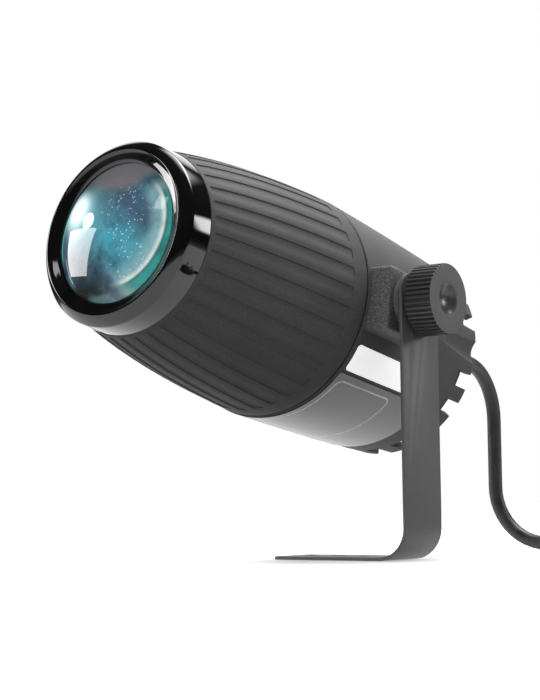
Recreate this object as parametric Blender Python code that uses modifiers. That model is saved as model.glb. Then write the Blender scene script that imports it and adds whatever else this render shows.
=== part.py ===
"""Led pinspot light: a tapered barrel that tilts on a one-armed sheet bracket.

The bracket stands on its base at z = 0. The barrel is built in its own frame, whose X axis is the
tilt axis, Y points up and Z runs along the barrel to the lens. A station is a distance along that
Z axis from the tilt axis. The arm and its knob are on the +X side.
"""

import math

import bmesh
import bpy
from mathutils import Matrix, Vector

# Clearances
GAP = 0.0003
HOLE_PLAY = 0.0003
SKIN_GAP = 0.0002
CUT_OVER = 0.002
SMOOTH_WELD = 0.000001
SINK = 0.0013
TIP_ROOM = 0.0015

# Pose and place of the tilt axis
TILT = math.radians(10.8)
PIVOT_Z = 0.1154

# Barrel outline
RING_A = 0.1147
SEAM_A = 0.0165
REAR_A = -0.0842
SEAM_R = 0.0538
FRONT_TAPER = (0.0053, 0.0034, 0.0040)
REAR_TAPER = (0.0014, 0.0017)
REAR_STATIONS = (SEAM_A - 0.0352, SEAM_A - 0.0705)
SEAM_GAP = 0.0005
WALL = 0.0031

# Lengthwise channels of the front housing
CHANNELS = 36
CHANNEL_START = RING_A - 0.0025
CHANNEL_END = SEAM_A + 0.0108
CHANNEL_DEPTH = 0.0009

# Joint between the housings
SPIGOT_R = SEAM_R - 0.0028
SPIGOT_BORE = SPIGOT_R - 0.0024
LEDGE_BORE = SPIGOT_R - 0.0018
SPIGOT_END = SEAM_A - 0.0089
LEDGE_A = SPIGOT_END - 0.0046
SCREW_CIRCLE = SPIGOT_BORE - 0.0033
SCREW_ANGLES = (90.0, 210.0, 330.0)
SCREW_R = 0.0015
SHANK_R = 0.8 * SCREW_R
LUG_R = 0.0040
LUG_END = SPIGOT_END + 0.0139
LEDGE_LUG = 0.0070

# Rear rim
RIM_BORE = SEAM_R - 0.0070
RIM_BORE_A = REAR_A + 0.0242
TEETH = 21
FACET = 360.0 / (4 * TEETH)
NOTCH_PHASE = -1.5
NOTCH_W = 0.0077
NOTCH_A = REAR_A + 0.0122
POCKETS = (0, 7, 14)
POCKET_R = 0.0085
POCKET_A = REAR_A + 0.0362
POCKET_LEAN = 6.3

# Pivot boss
BOSS_ROOT_R = SEAM_R - 0.0016
BOSS_X = SEAM_R + 0.0102
BOSS_TOP = 0.0130
BOSS_BOTTOM = -0.0155
BOSS_HALF = 0.0150
BOSS_EDGE = 0.0012
COLLAR_R = 0.0120
COLLAR_X = BOSS_X + 0.0023
INSERT_R = 0.0055
TILT_WASHER_R = 0.0112
TILT_WASHER_T = 0.0019

# Bracket
SHEET = 0.0015
BRACKET_W = 0.030
ARM_X = COLLAR_X + GAP + TILT_WASHER_T + GAP + SHEET
ARM_TOP = PIVOT_Z + 0.0120
ARM_CORNER = 0.008
BASE_END = -0.003
BASE_CORNER = 0.003
BEND_R = 0.0145
BASE_HOLES = ((0.009, 0.00325), (0.026, 0.0028), (0.0385, 0.0026))
STUD_R = 0.004

# Knob
KNOB_WASHER_R = 0.0090
KNOB_WASHER_T = 0.00075
KNOB_BACK = ARM_X + GAP + KNOB_WASHER_T + GAP
KNOB_FRONT = KNOB_BACK + 0.01365
KNOB_R = 0.016
KNOB_RIBS = 48
RIB_DEPTH = 0.0010
DIMPLE_R = 0.0066
DIMPLE_DEPTH = 0.0036
STUD_TIP = BOSS_ROOT_R + 0.0018
STUD_END = KNOB_FRONT - DIMPLE_DEPTH - 0.0020
INSERT_IN = STUD_TIP - 0.0014
RIB_FOOT = 0.34
RIB_TOP = 0.18

# Lens ring and lens
RING_R = SEAM_R - sum(FRONT_TAPER) - 0.0001
RING_SPIGOT_R = RING_R - 0.0034
RING_SPIGOT_BORE = RING_SPIGOT_R - 0.0026
RING_SPIGOT_A = RING_A + 0.0078
RING_OUTLINE = ((0.0047, 0.0151), (0.0029, 0.0146), (0.0014, 0.0133), (0.0007, 0.0117), (0.0002, 0.0078))
LIP_IN = 0.0024
LENS_R = RING_R - 0.0078
LENS_DOME = 0.075
LENS_EDGE_A = RING_A + 0.0104
LENS_BACK_A = LENS_EDGE_A - 0.0035
GASKET_T = 0.0014
GASKET_W = 0.0020
RETAINER_T = 0.0018
RETAINER_W = 0.0030

# Heat sink and LED
FINS = 7
FIN_PITCH = 0.009
FIN_T = 0.0018
FIN_REACH = SCREW_CIRCLE - 0.0053
FIN_END = LEDGE_A - 0.0190
LED_BOARD_R = 0.016
LED_BOARD_T = 0.0016
LED_SCREW_X = 0.0135
LED_R = 0.0030
LED_BASE_T = 0.0015
LED_DOME_R = 0.0022
CUP_R = 0.0110
CUP_BORE = 0.0096
CUP_FLOOR = 0.0016
CUP_END = SPIGOT_END + 0.0144
LED_WIRE_X = -0.0225
LED_WIRE_Y = 0.010
LED_WIRE_HOLE = 0.0026

# Rear cover and the cord's strain relief
COVER_R = RIM_BORE - GAP
COVER_A = REAR_A + 0.0035
COVER_T = 0.0025
SKIRT_T = 0.0020
SKIRT_A = COVER_A + 0.0147
POST_CIRCLE = COVER_R - 0.0063
POST_ANGLES = (90.0, 200.0, 340.0)
COVER_SCREW_TIP = SKIRT_A + 0.0070
POST_L = 0.0100
CORD_R = 0.0036
EXIT_X = 0.028
EXIT_Y = 0.003
RELIEF_HEAD_R = 0.0080
RELIEF_HEAD_T = 0.0030
RELIEF_R = 0.0057
RELIEF_HOLE = RELIEF_R + HOLE_PLAY
RELIEF_TOP = 0.0064
RELIEF_TIP = 0.0048
RELIEF_END = COVER_A - 0.0290
RELIEF_INNER = COVER_A + 0.0062
TAIL_END = RELIEF_INNER + 0.0045
NUT_R = 0.0085
NUT_T = 0.0030

# Driver tray and board, from the tray's middle
TRAY_A = -0.0390
TRAY_L = 0.0300
TRAY_X = 0.031
TRAY_WALL = 0.0015
TRAY_WALL_H = 0.0107
TRAY_Y = -0.0197
TRAY_T = 0.0018
RAIL_TOP = TRAY_Y - GAP
RAIL_END = RIM_BORE - 0.0013
RAIL_X = 0.020
RAIL_T = 0.0030
TRAY_SCREW_X = (-0.0245, 0.0245)
TRAY_SCREW_A = TRAY_A - 0.0010
POST_X = 0.022
POST_A = 0.010
POST_H = 0.0042
POST_HOLE = 0.0035
POST_TOP = TRAY_Y + TRAY_T + POST_H
BOARD_POSTS = tuple((x, TRAY_A + a) for x in (-POST_X, POST_X) for a in (POST_A, -POST_A))
BOARD_X = 0.027
BOARD_L = 0.028
BOARD_T = 0.0016
BOARD_Y = POST_TOP + GAP
BOARD_TOP = BOARD_Y + BOARD_T + GAP

# Pieces on the driver board: middle and width across, middle and length along, height
BLOCK_EDGE = 0.0005
BLOCKS = (
    ("transformer", "copper_tape", 0.0015, 0.0190, 0.0030, 0.0160, 0.0155),
    ("terminal_block", "green", 0.0050, 0.0180, -0.01005, 0.0071, 0.0080),
    ("transistor", "rubber", 0.01475, 0.0035, 0.0015, 0.0110, 0.0175),
)
CANS = (
    ("input_capacitor", "rubber", -0.0160, 0.0055, 0.0060, 0.0180),
    ("output_capacitor", "blue", 0.0215, 0.0, 0.0045, 0.0130),
    ("choke", "copper_tape", -0.0140, -0.0080, 0.0045, 0.0090),
)

# Wires: angle, entry and two bends of each mains wire; start, height and pad of each LED wire
WIRE_LAY_R = 0.0013
WIRE_STRAIGHT = 0.0012
MAINS_WIRE_R = 0.0009
LED_WIRE_R = 0.0007
TERMINAL_Y = BOARD_TOP + 0.0040
MAINS_WIRES = (
    ("wire_live", "brown", 210, 0.001, 0.0045, -0.0005),
    ("wire_earth", "green", 90, 0.005, 0.0075, 0.0045),
    ("wire_neutral", "blue", 330, 0.009, 0.0105, 0.0095),
)
LED_WIRES = (
    ("wire_led_plus", "red", TRAY_A + 0.0100, 0.0112, -0.0085),
    ("wire_led_minus", "rubber", TRAY_A + 0.0128, 0.0088, -0.0112),
)

# Labels on the rear housing: first angle and sweep
LABEL_T = 0.0002
LABEL_FRONT = SEAM_A - 0.0010
STICKER_FRONT = SEAM_A - 0.0027
LABEL_BACK = REAR_A + 0.0257
STICKER_BACK = REAR_A + 0.0422
LABEL_TURN = (-32.5 * FACET, 23 * FACET)
STICKER_TURN = (-8.9 * FACET, 3.25 * FACET)

# Cord, coil and plug on the floor
BEND = 0.0292
COIL_X = 0.145
COIL_Y = 0.097
COIL_MID = 0.0396
COIL_PITCH = 2 * CORD_R + 0.0007
COIL_TURNS = 4.25
COIL_LAYER_TURNS = 2.0
COIL_RAMP = 1.0 / 3.0
COIL_Z = CORD_R + 0.0012
THROAT_IN = 0.0016
TIE_T = 0.0008
TIE_W = 0.010
TIE_IN = 0.0111
TIE_OUT = 0.0080
TIE_ROOM = 0.0005
TIE_TURN = 200.0
PLUG_H = 0.017
PLUG_R = 0.0185
PLUG_ENTRY_Z = 0.0088
PLUG_PIN_X = 0.0095
PLUG_PIN_R = 0.0024
PLUG_PIN_END = 0.0360
PLUG_PIN_FOOT = 0.0103
EARTH_W = 0.0044
EARTH_T = 0.0008
EARTH_FOOT = 0.0048
PLUG_EDGE = 0.0012
TAIL = 0.046
PLUG_COLLAR = 0.026


def clear_scene():
    for obj in list(bpy.data.objects):
        bpy.data.objects.remove(obj, do_unlink=True)


def new_collection(name):
    made = bpy.data.collections.new(name)
    bpy.context.scene.collection.children.link(made)
    return made


def finish(name, colour, roughness, metallic):
    look = bpy.data.materials.new(name)
    look.use_nodes = True
    shader = look.node_tree.nodes["Principled BSDF"]
    shader.inputs["Base Color"].default_value = (*colour, 1.0)
    shader.inputs["Roughness"].default_value = roughness
    shader.inputs["Metallic"].default_value = metallic
    return look


LOOKS = {
    "coat": ((0.065, 0.065, 0.068), 0.55, 0.0),
    "plastic": ((0.09, 0.09, 0.092), 0.6, 0.0),
    "gloss": ((0.006, 0.006, 0.006), 0.08, 0.0),
    "glass": ((0.25, 0.55, 0.62), 0.03, 0.0),
    "rubber": ((0.015, 0.015, 0.015), 0.8, 0.0),
    "steel": ((0.55, 0.55, 0.56), 0.3, 1.0),
    "brass": ((0.62, 0.45, 0.18), 0.3, 1.0),
    "aluminium": ((0.7, 0.7, 0.72), 0.4, 1.0),
    "board": ((0.03, 0.16, 0.06), 0.5, 0.0),
    "white": ((0.8, 0.8, 0.8), 0.5, 0.0),
    "emitter": ((0.85, 0.75, 0.25), 0.4, 0.0),
    "film": ((0.03, 0.03, 0.032), 0.12, 0.0),
    "copper_tape": ((0.75, 0.62, 0.12), 0.5, 0.0),
    "red": ((0.5, 0.02, 0.02), 0.5, 0.0),
    "blue": ((0.02, 0.09, 0.42), 0.5, 0.0),
    "brown": ((0.14, 0.05, 0.02), 0.5, 0.0),
    "green": ((0.1, 0.4, 0.03), 0.5, 0.0),
    "cord": ((0.018, 0.018, 0.018), 0.5, 0.0),
}


def place(obj, look, parent=None):
    if look:
        obj.data.materials.append(finish(obj.name, *LOOKS[look]))
    if parent:
        obj.parent = parent
    PARTS.objects.link(obj)
    return obj


def as_cutter(obj, parent=None):
    obj.hide_render = True
    obj.display_type = "WIRE"
    obj.parent = parent
    CUTTERS.objects.link(obj)
    return obj


def cutter_from(name, bm, parent=None):
    bmesh.ops.recalc_face_normals(bm, faces=bm.faces[:])
    mesh = bpy.data.meshes.new(name)
    bm.to_mesh(mesh)
    bm.free()
    return as_cutter(bpy.data.objects.new(name, mesh), parent)


def solid_from(name, bm, look, parent=None):
    bmesh.ops.recalc_face_normals(bm, faces=bm.faces[:])
    mesh = bpy.data.meshes.new(name)
    bm.to_mesh(mesh)
    bm.free()
    return place(bpy.data.objects.new(name, mesh), look, parent)


def box(bm, low, high, turn=None):
    low, high = Vector(low), Vector(high)
    middle = Matrix.Translation((low + high) / 2)
    size = Matrix.Diagonal((*(high - low), 1.0))
    bmesh.ops.create_cube(bm, size=1.0, matrix=(turn or Matrix()) @ middle @ size)


def rod(bm, x, y, low, high, radius, segments=16, tip=None):
    """A cylinder or cone along Z, from low to high."""
    where = Matrix.Translation((x, y, (low + high) / 2))
    bmesh.ops.create_cone(
        bm,
        cap_ends=True,
        segments=segments,
        radius1=radius,
        radius2=radius if tip is None else tip,
        depth=high - low,
        matrix=where,
    )


def rod_x(bm, y, z, low, high, radius, segments=24):
    """A cylinder along X."""
    where = Matrix.Translation(((low + high) / 2, y, z)) @ Matrix.Rotation(math.pi / 2, 4, "Y")
    bmesh.ops.create_cone(
        bm, cap_ends=True, segments=segments, radius1=radius, radius2=radius, depth=high - low, matrix=where
    )


def boolean(obj, operation, other):
    step = obj.modifiers.new(other.name, "BOOLEAN")
    step.operation = operation
    step.solver = "EXACT"
    step.object = other


def profile_mesh(name, points, closed):
    mesh = bpy.data.meshes.new(name)
    edges = [(i, i + 1) for i in range(len(points) - 1)]
    if closed:
        edges.append((len(points) - 1, 0))
    mesh.from_pydata([(r, 0.0, a) for r, a in points], edges, [])
    return mesh


def screw(obj, steps, sweep=2 * math.pi):
    turn = obj.modifiers.new("turn", "SCREW")
    turn.angle = sweep
    turn.steps = steps
    turn.render_steps = steps
    turn.use_merge_vertices = True
    turn.merge_threshold = 0.00001
    turn.use_smooth_shade = True
    return obj


def turned(name, points, steps, look, parent=None, closed=True):
    """A profile of (radius, station) points turned about Z."""
    obj = bpy.data.objects.new(name, profile_mesh(name, points, closed))
    return screw(place(obj, look, parent), steps)


def made_real(obj):
    """Turns the object's modifiers into its mesh, with the seams welded."""
    bpy.context.view_layer.update()
    graph = bpy.context.evaluated_depsgraph_get()
    mesh = bpy.data.meshes.new_from_object(obj.evaluated_get(graph))
    bm = bmesh.new()
    bm.from_mesh(mesh)
    bmesh.ops.remove_doubles(bm, verts=bm.verts[:], dist=SMOOTH_WELD)
    bm.to_mesh(mesh)
    bm.free()
    obj.modifiers.clear()
    obj.data = mesh
    return obj


def smooth(obj, degrees=35.0):
    obj.data.shade_smooth()
    obj.data.set_sharp_from_angle(angle=math.radians(degrees))


def tube(name, points, radius, look, parent=None, resolution=1):
    data = bpy.data.curves.new(name, "CURVE")
    data.dimensions = "3D"
    data.bevel_depth = radius
    data.bevel_resolution = resolution
    data.use_fill_caps = True
    line = data.splines.new("POLY")
    line.points.add(len(points) - 1)
    for point, where in zip(line.points, points):
        point.co = (*where, 1.0)
    return place(bpy.data.objects.new(name, data), look, parent)


def along_x(obj, x=0.0):
    """Lays a piece that was turned about Z along the tilt axis."""
    obj.rotation_euler = (0.0, math.pi / 2, 0.0)
    obj.location.x = x
    return obj


def front_radius(a):
    s = (a - SEAM_A) / (RING_A - SEAM_A)
    return SEAM_R - sum(drop * s**power for power, drop in enumerate(FRONT_TAPER, 1))


def rear_radius(a):
    s = (SEAM_A - a) / (SEAM_A - REAR_A)
    return SEAM_R - sum(drop * s**power for power, drop in enumerate(REAR_TAPER, 1))


def ring_spots(radius, angles):
    return [(radius * math.cos(math.radians(t)), radius * math.sin(math.radians(t))) for t in angles]


def blend(low, high, count):
    return [low + (high - low) * i / count for i in range(count + 1)]


def screw_piece(name, x, y, seat, tip, head_r, head_h, parent, look="steel"):
    """A pan-head screw. Its head sits on the station seat, and its shank runs to tip."""
    way = 1.0 if tip > seat else -1.0
    head = seat - way * head_h
    points = [(0.0, tip), (SHANK_R, tip), (SHANK_R, seat), (head_r, seat)]
    points += [(head_r, seat - way * head_h * 0.6), (head_r * 0.7, head), (0.0, head)]
    if way < 0:
        points.reverse()
    obj = turned(name, points, 8, look, parent, closed=False)
    obj.location = (x, y, 0.0)
    return obj


def make_bracket():
    bm = bmesh.new()
    path = [(BASE_END, 0.0), (ARM_X - BEND_R, 0.0)]
    for step in range(1, 8):
        turn = math.pi / 2 * step / 8
        path.append((ARM_X - BEND_R + BEND_R * math.sin(turn), BEND_R - BEND_R * math.cos(turn)))
    path += [(ARM_X, BEND_R), (ARM_X, ARM_TOP)]
    row = [bm.verts.new((x, -BRACKET_W / 2, z)) for x, z in path]
    edges = [bm.edges.new(pair) for pair in zip(row, row[1:])]
    made = bmesh.ops.extrude_edge_only(bm, edges=edges)["geom"]
    far = [item for item in made if isinstance(item, bmesh.types.BMVert)]
    bmesh.ops.translate(bm, verts=far, vec=(0.0, BRACKET_W, 0.0))
    bm.normal_update()
    if min(bm.faces, key=lambda face: face.calc_center_median().z).normal.z > 0:
        bmesh.ops.reverse_faces(bm, faces=bm.faces[:])
    for height, radius in ((ARM_TOP, ARM_CORNER), (BASE_END, BASE_CORNER)):
        if radius == ARM_CORNER:
            corners = [v for v in bm.verts if abs(v.co.z - height) < SMOOTH_WELD]
        else:
            corners = [v for v in bm.verts if abs(v.co.x - height) < SMOOTH_WELD and v.co.z < SMOOTH_WELD]
        bmesh.ops.bevel(bm, geom=corners, offset=radius, segments=6, profile=0.5, affect="VERTICES")
    mesh = bpy.data.meshes.new("mounting_bracket")
    bm.to_mesh(mesh)
    bm.free()
    bracket = place(bpy.data.objects.new("mounting_bracket", mesh), "coat")
    skin = bracket.modifiers.new("sheet", "SOLIDIFY")
    skin.thickness = SHEET
    skin.offset = -1.0
    skin.use_even_offset = True
    holes = bmesh.new()
    for x, radius in BASE_HOLES:
        rod(holes, x, 0.0, -CUT_OVER, SHEET + CUT_OVER, radius, 24)
    arm_hole = STUD_R + HOLE_PLAY + SKIN_GAP
    rod_x(holes, 0.0, PIVOT_Z, ARM_X - SHEET - CUT_OVER, ARM_X + CUT_OVER, arm_hole)
    boolean(bracket, "DIFFERENCE", cutter_from("bracket_holes", holes))
    return bracket


def make_front_housing(head):
    outer = [(front_radius(a), a) for a in [RING_A - GAP, *blend(CHANNEL_START, CHANNEL_END, 4)]]
    rear = SEAM_A + SEAM_GAP / 2
    inner = [(front_radius(a) - WALL, a) for a in (RING_A - 0.0447, RING_A - 0.0107)]
    points = [(RING_SPIGOT_R, RING_SPIGOT_A), (RING_SPIGOT_R, RING_A - GAP), *outer]
    points += [(SEAM_R, rear), (SPIGOT_R, rear), (SPIGOT_R, SPIGOT_END), (SPIGOT_BORE, SPIGOT_END)]
    points += [(SPIGOT_BORE, LUG_END + 0.0005), *inner, (RING_SPIGOT_BORE, RING_A - 0.0047)]
    points += [(RING_SPIGOT_BORE, RING_SPIGOT_A)]
    shell = made_real(turned("front_housing", points, 2 * CHANNELS, "coat", head))
    bm = bmesh.new()
    bm.from_mesh(shell.data)
    half = math.pi / (2 * CHANNELS)
    bmesh.ops.rotate(bm, verts=bm.verts[:], cent=(0, 0, 0), matrix=Matrix.Rotation(half, 3, "Z"))
    cut_channels(bm)
    bm.to_mesh(shell.data)
    bm.free()
    smooth(shell)
    lugs = bmesh.new()
    holes = bmesh.new()
    for x, y in ring_spots(SCREW_CIRCLE, SCREW_ANGLES):
        rod(lugs, x, y, SPIGOT_END, LUG_END, LUG_R)
        rod(holes, x, y, SPIGOT_END - CUT_OVER, LUG_END - CUT_OVER, SCREW_R + HOLE_PLAY, 12)
    boolean(shell, "UNION", cutter_from("front_lugs", lugs, head))
    boolean(shell, "DIFFERENCE", cutter_from("front_lug_holes", holes, head))
    return shell


def cut_channels(bm):
    """Presses the channel faces of the outer skin in by the channel depth."""
    pitch = 2 * math.pi / CHANNELS
    chosen = []
    for face in bm.faces:
        middle = face.calc_center_median()
        if not CHANNEL_END < middle.z < CHANNEL_START:
            continue
        if math.hypot(middle.x, middle.y) < front_radius(middle.z) - WALL / 2:
            continue
        turn = math.atan2(middle.y, middle.x) / pitch
        if abs(turn - round(turn)) < 0.2:
            chosen.append(face)
    made = bmesh.ops.extrude_face_region(bm, geom=chosen)["geom"]
    left = [face for face in chosen if face.is_valid]
    bmesh.ops.delete(bm, geom=left, context="FACES_ONLY")
    for vert in (item for item in made if isinstance(item, bmesh.types.BMVert)):
        radius = math.hypot(vert.co.x, vert.co.y)
        vert.co.xy *= (radius - CHANNEL_DEPTH) / radius
    bmesh.ops.recalc_face_normals(bm, faces=bm.faces[:])


def rim_notches(head):
    """Square notches all round the rim, except where a pocket runs out."""
    bm = bmesh.new()
    for index in (i for i in range(TEETH) if i not in POCKETS):
        turn = Matrix.Rotation(math.radians(NOTCH_PHASE + 360.0 * index / TEETH), 4, "Z")
        low = (RIM_BORE - 2 * CUT_OVER, -NOTCH_W / 2, REAR_A - CUT_OVER)
        box(bm, low, (SEAM_R + CUT_OVER, NOTCH_W / 2, NOTCH_A), turn)
    return cutter_from("rim_notches", bm, head)


def rim_pockets(head):
    """Round-bottomed pockets that start at the surface and deepen towards the rim."""
    bm = bmesh.new()
    length = POCKET_A - REAR_A + 5 * CUT_OVER
    for index in POCKETS:
        turn = Matrix.Rotation(math.radians(NOTCH_PHASE + 360.0 * index / TEETH), 4, "Z")
        lean = Matrix.Translation((rear_radius(POCKET_A) + POCKET_R, 0.0, POCKET_A))
        lean = lean @ Matrix.Rotation(math.radians(POCKET_LEAN), 4, "Y")
        where = turn @ lean @ Matrix.Translation((0, 0, -length / 2))
        bmesh.ops.create_cone(
            bm, cap_ends=True, segments=32, radius1=POCKET_R, radius2=POCKET_R, depth=length, matrix=where
        )
    return cutter_from("rim_pockets", bm, head)


def rear_inner_parts():
    """Lugs for the housing screws, lugs for the cover screws and the two rails of the driver tray."""
    bm = bmesh.new()
    for angle in SCREW_ANGLES:
        turn = Matrix.Rotation(math.radians(angle), 4, "Z")
        low = (SCREW_CIRCLE - LUG_R, -LUG_R, LEDGE_A - LEDGE_LUG)
        box(bm, low, (LEDGE_BORE + SINK, LUG_R, LEDGE_A), turn)
    for angle in POST_ANGLES:
        turn = Matrix.Rotation(math.radians(angle), 4, "Z")
        low = (POST_CIRCLE - LUG_R, -LUG_R, SKIRT_A + GAP)
        box(bm, low, (RIM_BORE + SINK, LUG_R, SKIRT_A + POST_L), turn)
    for side in (-1, 1):
        ends = sorted((side * RAIL_X, side * RAIL_END))
        low = (ends[0], RAIL_TOP - RAIL_T, TRAY_A - TRAY_L / 2)
        box(bm, low, (ends[1], RAIL_TOP, TRAY_A + TRAY_L / 2))
    return bm


def make_rear_housing(head):
    front = SEAM_A - SEAM_GAP / 2
    outer = [(rear_radius(a), a) for a in (front, *REAR_STATIONS, REAR_A)]
    bore = SPIGOT_R + GAP
    inner = [(RIM_BORE, REAR_A), (RIM_BORE, RIM_BORE_A), (LEDGE_BORE, LEDGE_A), (bore, LEDGE_A)]
    inner.append((bore, front))
    shell = made_real(turned("rear_housing", outer + inner, 4 * TEETH, "coat", head))
    smooth(shell)
    boss = bmesh.new()
    box(boss, (BOSS_ROOT_R - 0.0016, BOSS_BOTTOM, -BOSS_HALF), (BOSS_X, BOSS_TOP, BOSS_HALF))
    edges = [e for e in boss.edges if all(v.co.x > BOSS_X - BOSS_EDGE for v in e.verts)]
    bmesh.ops.bevel(boss, geom=edges, offset=BOSS_EDGE, segments=1, affect="EDGES")
    block = cutter_from("pivot_boss", boss, head)
    round_back = bmesh.new()
    rod(round_back, 0.0, 0.0, -BOSS_HALF - CUT_OVER, BOSS_HALF + CUT_OVER, BOSS_ROOT_R, 96)
    boolean(block, "DIFFERENCE", cutter_from("boss_back", round_back, head))
    boolean(shell, "UNION", block)
    collar = bmesh.new()
    rod_x(collar, 0.0, 0.0, BOSS_X - CUT_OVER, COLLAR_X, COLLAR_R, 32)
    boolean(shell, "UNION", cutter_from("boss_collar", collar, head))
    boolean(shell, "UNION", cutter_from("rear_inner_parts", rear_inner_parts(), head))
    boolean(shell, "DIFFERENCE", rim_notches(head))
    boolean(shell, "DIFFERENCE", rim_pockets(head))
    holes = bmesh.new()
    rod_x(holes, 0.0, 0.0, INSERT_IN - GAP, COLLAR_X + CUT_OVER, INSERT_R + HOLE_PLAY)
    for x, y in ring_spots(SCREW_CIRCLE, SCREW_ANGLES):
        rod(holes, x, y, LEDGE_A - LEDGE_LUG - CUT_OVER, LEDGE_A + CUT_OVER, SCREW_R + HOLE_PLAY, 12)
    for x, y in ring_spots(POST_CIRCLE, POST_ANGLES):
        rod(holes, x, y, SKIRT_A - CUT_OVER, COVER_SCREW_TIP + TIP_ROOM, SCREW_R + HOLE_PLAY, 12)
    boolean(shell, "DIFFERENCE", cutter_from("rear_holes", holes, head))
    rails = bmesh.new()
    for x in TRAY_SCREW_X:
        upright(rails, x, TRAY_SCREW_A, RAIL_TOP - RAIL_T - CUT_OVER, RAIL_TOP + CUT_OVER, SCREW_R)
    boolean(shell, "DIFFERENCE", cutter_from("rail_holes", rails, head))
    return shell


def make_lens_ring(carrier):
    bore = RING_SPIGOT_R + GAP
    throat = RING_SPIGOT_BORE - GAP
    back = LENS_BACK_A - 2 * GAP - GASKET_T - RETAINER_T - 0.0010
    lip = LENS_R - LIP_IN
    points = [(RING_R - inset, RING_A + out) for inset, out in RING_OUTLINE]
    points += [(RING_R, RING_A), (bore, RING_A), (bore, RING_SPIGOT_A + GAP), (throat, RING_SPIGOT_A + GAP)]
    points += [(throat, back), (LENS_R + GAP, back), (LENS_R + GAP, LENS_EDGE_A + 0.0004)]
    points += [(lip, LENS_EDGE_A + 0.0016), (lip, LENS_EDGE_A + 0.0024), (lip + 0.0038, RING_A + 0.0145)]
    return turned("lens_ring", points, 44, "gloss", carrier)


def make_lens(carrier):
    centre = LENS_EDGE_A - math.sqrt(LENS_DOME**2 - LENS_R**2)
    dome = []
    for step in range(6):
        radius = LENS_R * step / 5
        dome.append((radius, centre + math.sqrt(LENS_DOME**2 - radius**2)))
    back = [(LENS_R, LENS_BACK_A), (0.0, LENS_BACK_A)]
    turned("front_lens", dome + back, 36, "glass", carrier, closed=False)
    seat = LENS_BACK_A - GAP
    inner = LENS_R - GASKET_W
    gasket = [(inner, seat), (LENS_R, seat), (LENS_R, seat - GASKET_T), (inner, seat - GASKET_T)]
    turned("lens_gasket", gasket, 24, "rubber", carrier)
    back = seat - GASKET_T - GAP
    inner = LENS_R - RETAINER_W
    keeper = [(inner, back), (LENS_R, back), (LENS_R, back - RETAINER_T), (inner, back - RETAINER_T)]
    turned("lens_retainer", keeper, 24, "steel", carrier)


def make_heat_sink(head):
    low = LEDGE_A + GAP
    high = SPIGOT_END - GAP
    rim = SPIGOT_R - 2 * GAP
    disc = [(0.0, high), (rim, high), (rim, low), (0.0, low)]
    plate = turned("heat_sink", disc, 48, "aluminium", head, False)
    fins = bmesh.new()
    for index in range(FINS):
        x = (index - (FINS - 1) / 2) * FIN_PITCH
        reach = math.sqrt(FIN_REACH**2 - x**2)
        box(fins, (x - FIN_T / 2, -reach, FIN_END), (x + FIN_T / 2, reach, low + SINK))
    boolean(plate, "UNION", cutter_from("heat_sink_fins", fins, head))
    holes = bmesh.new()
    for x, y in ring_spots(SCREW_CIRCLE, SCREW_ANGLES):
        rod(holes, x, y, low - CUT_OVER, high + CUT_OVER, SCREW_R + HOLE_PLAY, 12)
    for x in (-LED_SCREW_X, LED_SCREW_X):
        rod(holes, x, 0.0, low - CUT_OVER, high + CUT_OVER, SCREW_R, 12)
    rod(holes, LED_WIRE_X, LED_WIRE_Y, low - CUT_OVER, high + CUT_OVER, LED_WIRE_HOLE, 12)
    boolean(plate, "DIFFERENCE", cutter_from("heat_sink_holes", holes, head))


def make_led(head):
    base = SPIGOT_END
    top = base + LED_BOARD_T + GAP
    disc = [(0.0, top - GAP), (LED_BOARD_R, top - GAP), (LED_BOARD_R, base), (0.0, base)]
    board = turned("led_board", disc, 24, "white", head, False)
    holes = bmesh.new()
    for x in (-LED_SCREW_X, LED_SCREW_X):
        rod(holes, x, 0.0, base - CUT_OVER, top + CUT_OVER, SCREW_R, 12)
    boolean(board, "DIFFERENCE", cutter_from("led_board_holes", holes, head))
    foot = top + LED_BASE_T
    turns = (0.0, 0.6, 1.1, math.pi / 2)
    dome = [(LED_DOME_R * math.sin(t), foot + LED_DOME_R * math.cos(t)) for t in turns]
    turned("led_emitter", [*dome, (LED_R, foot), (LED_R, top), (0.0, top)], 16, "emitter", head, False)
    for index, x in enumerate((-LED_SCREW_X, LED_SCREW_X), 1):
        screw_piece(f"led_board_screw_{index}", x, 0.0, top, top - 0.0053, 0.0022, 0.0016, head)
    make_collimator(head, top)


def make_collimator(head, top):
    """The clear cone over the LED and the cup that holds it."""
    floor = top + CUP_FLOOR
    eye = LED_R + 2 * SKIN_GAP
    cup = [(CUP_BORE, CUP_END), (CUP_R, CUP_END), (CUP_R, top), (eye, top), (eye, floor), (CUP_BORE, floor)]
    turned("collimator_holder", cup, 20, "rubber", head)
    low = floor + GAP
    high = CUP_END - 0.0005
    well = LED_DOME_R + 2 * SKIN_GAP
    roof = top + LED_BASE_T + LED_DOME_R + 0.0008
    cone = [(0.0, high), (CUP_BORE - 2 * SKIN_GAP, high), (well + 0.0010, low), (well, low)]
    cone += [(well, roof), (0.0, roof)]
    turned("collimator", cone, 24, "white", head, False)


def make_housing_screws(head):
    seat = LEDGE_A - LEDGE_LUG - GAP
    for index, (x, y) in enumerate(ring_spots(SCREW_CIRCLE, SCREW_ANGLES), 1):
        screw_piece(f"housing_screw_{index}", x, y, seat, LUG_END - 0.0030, 0.0028, 0.0022, head)


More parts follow.
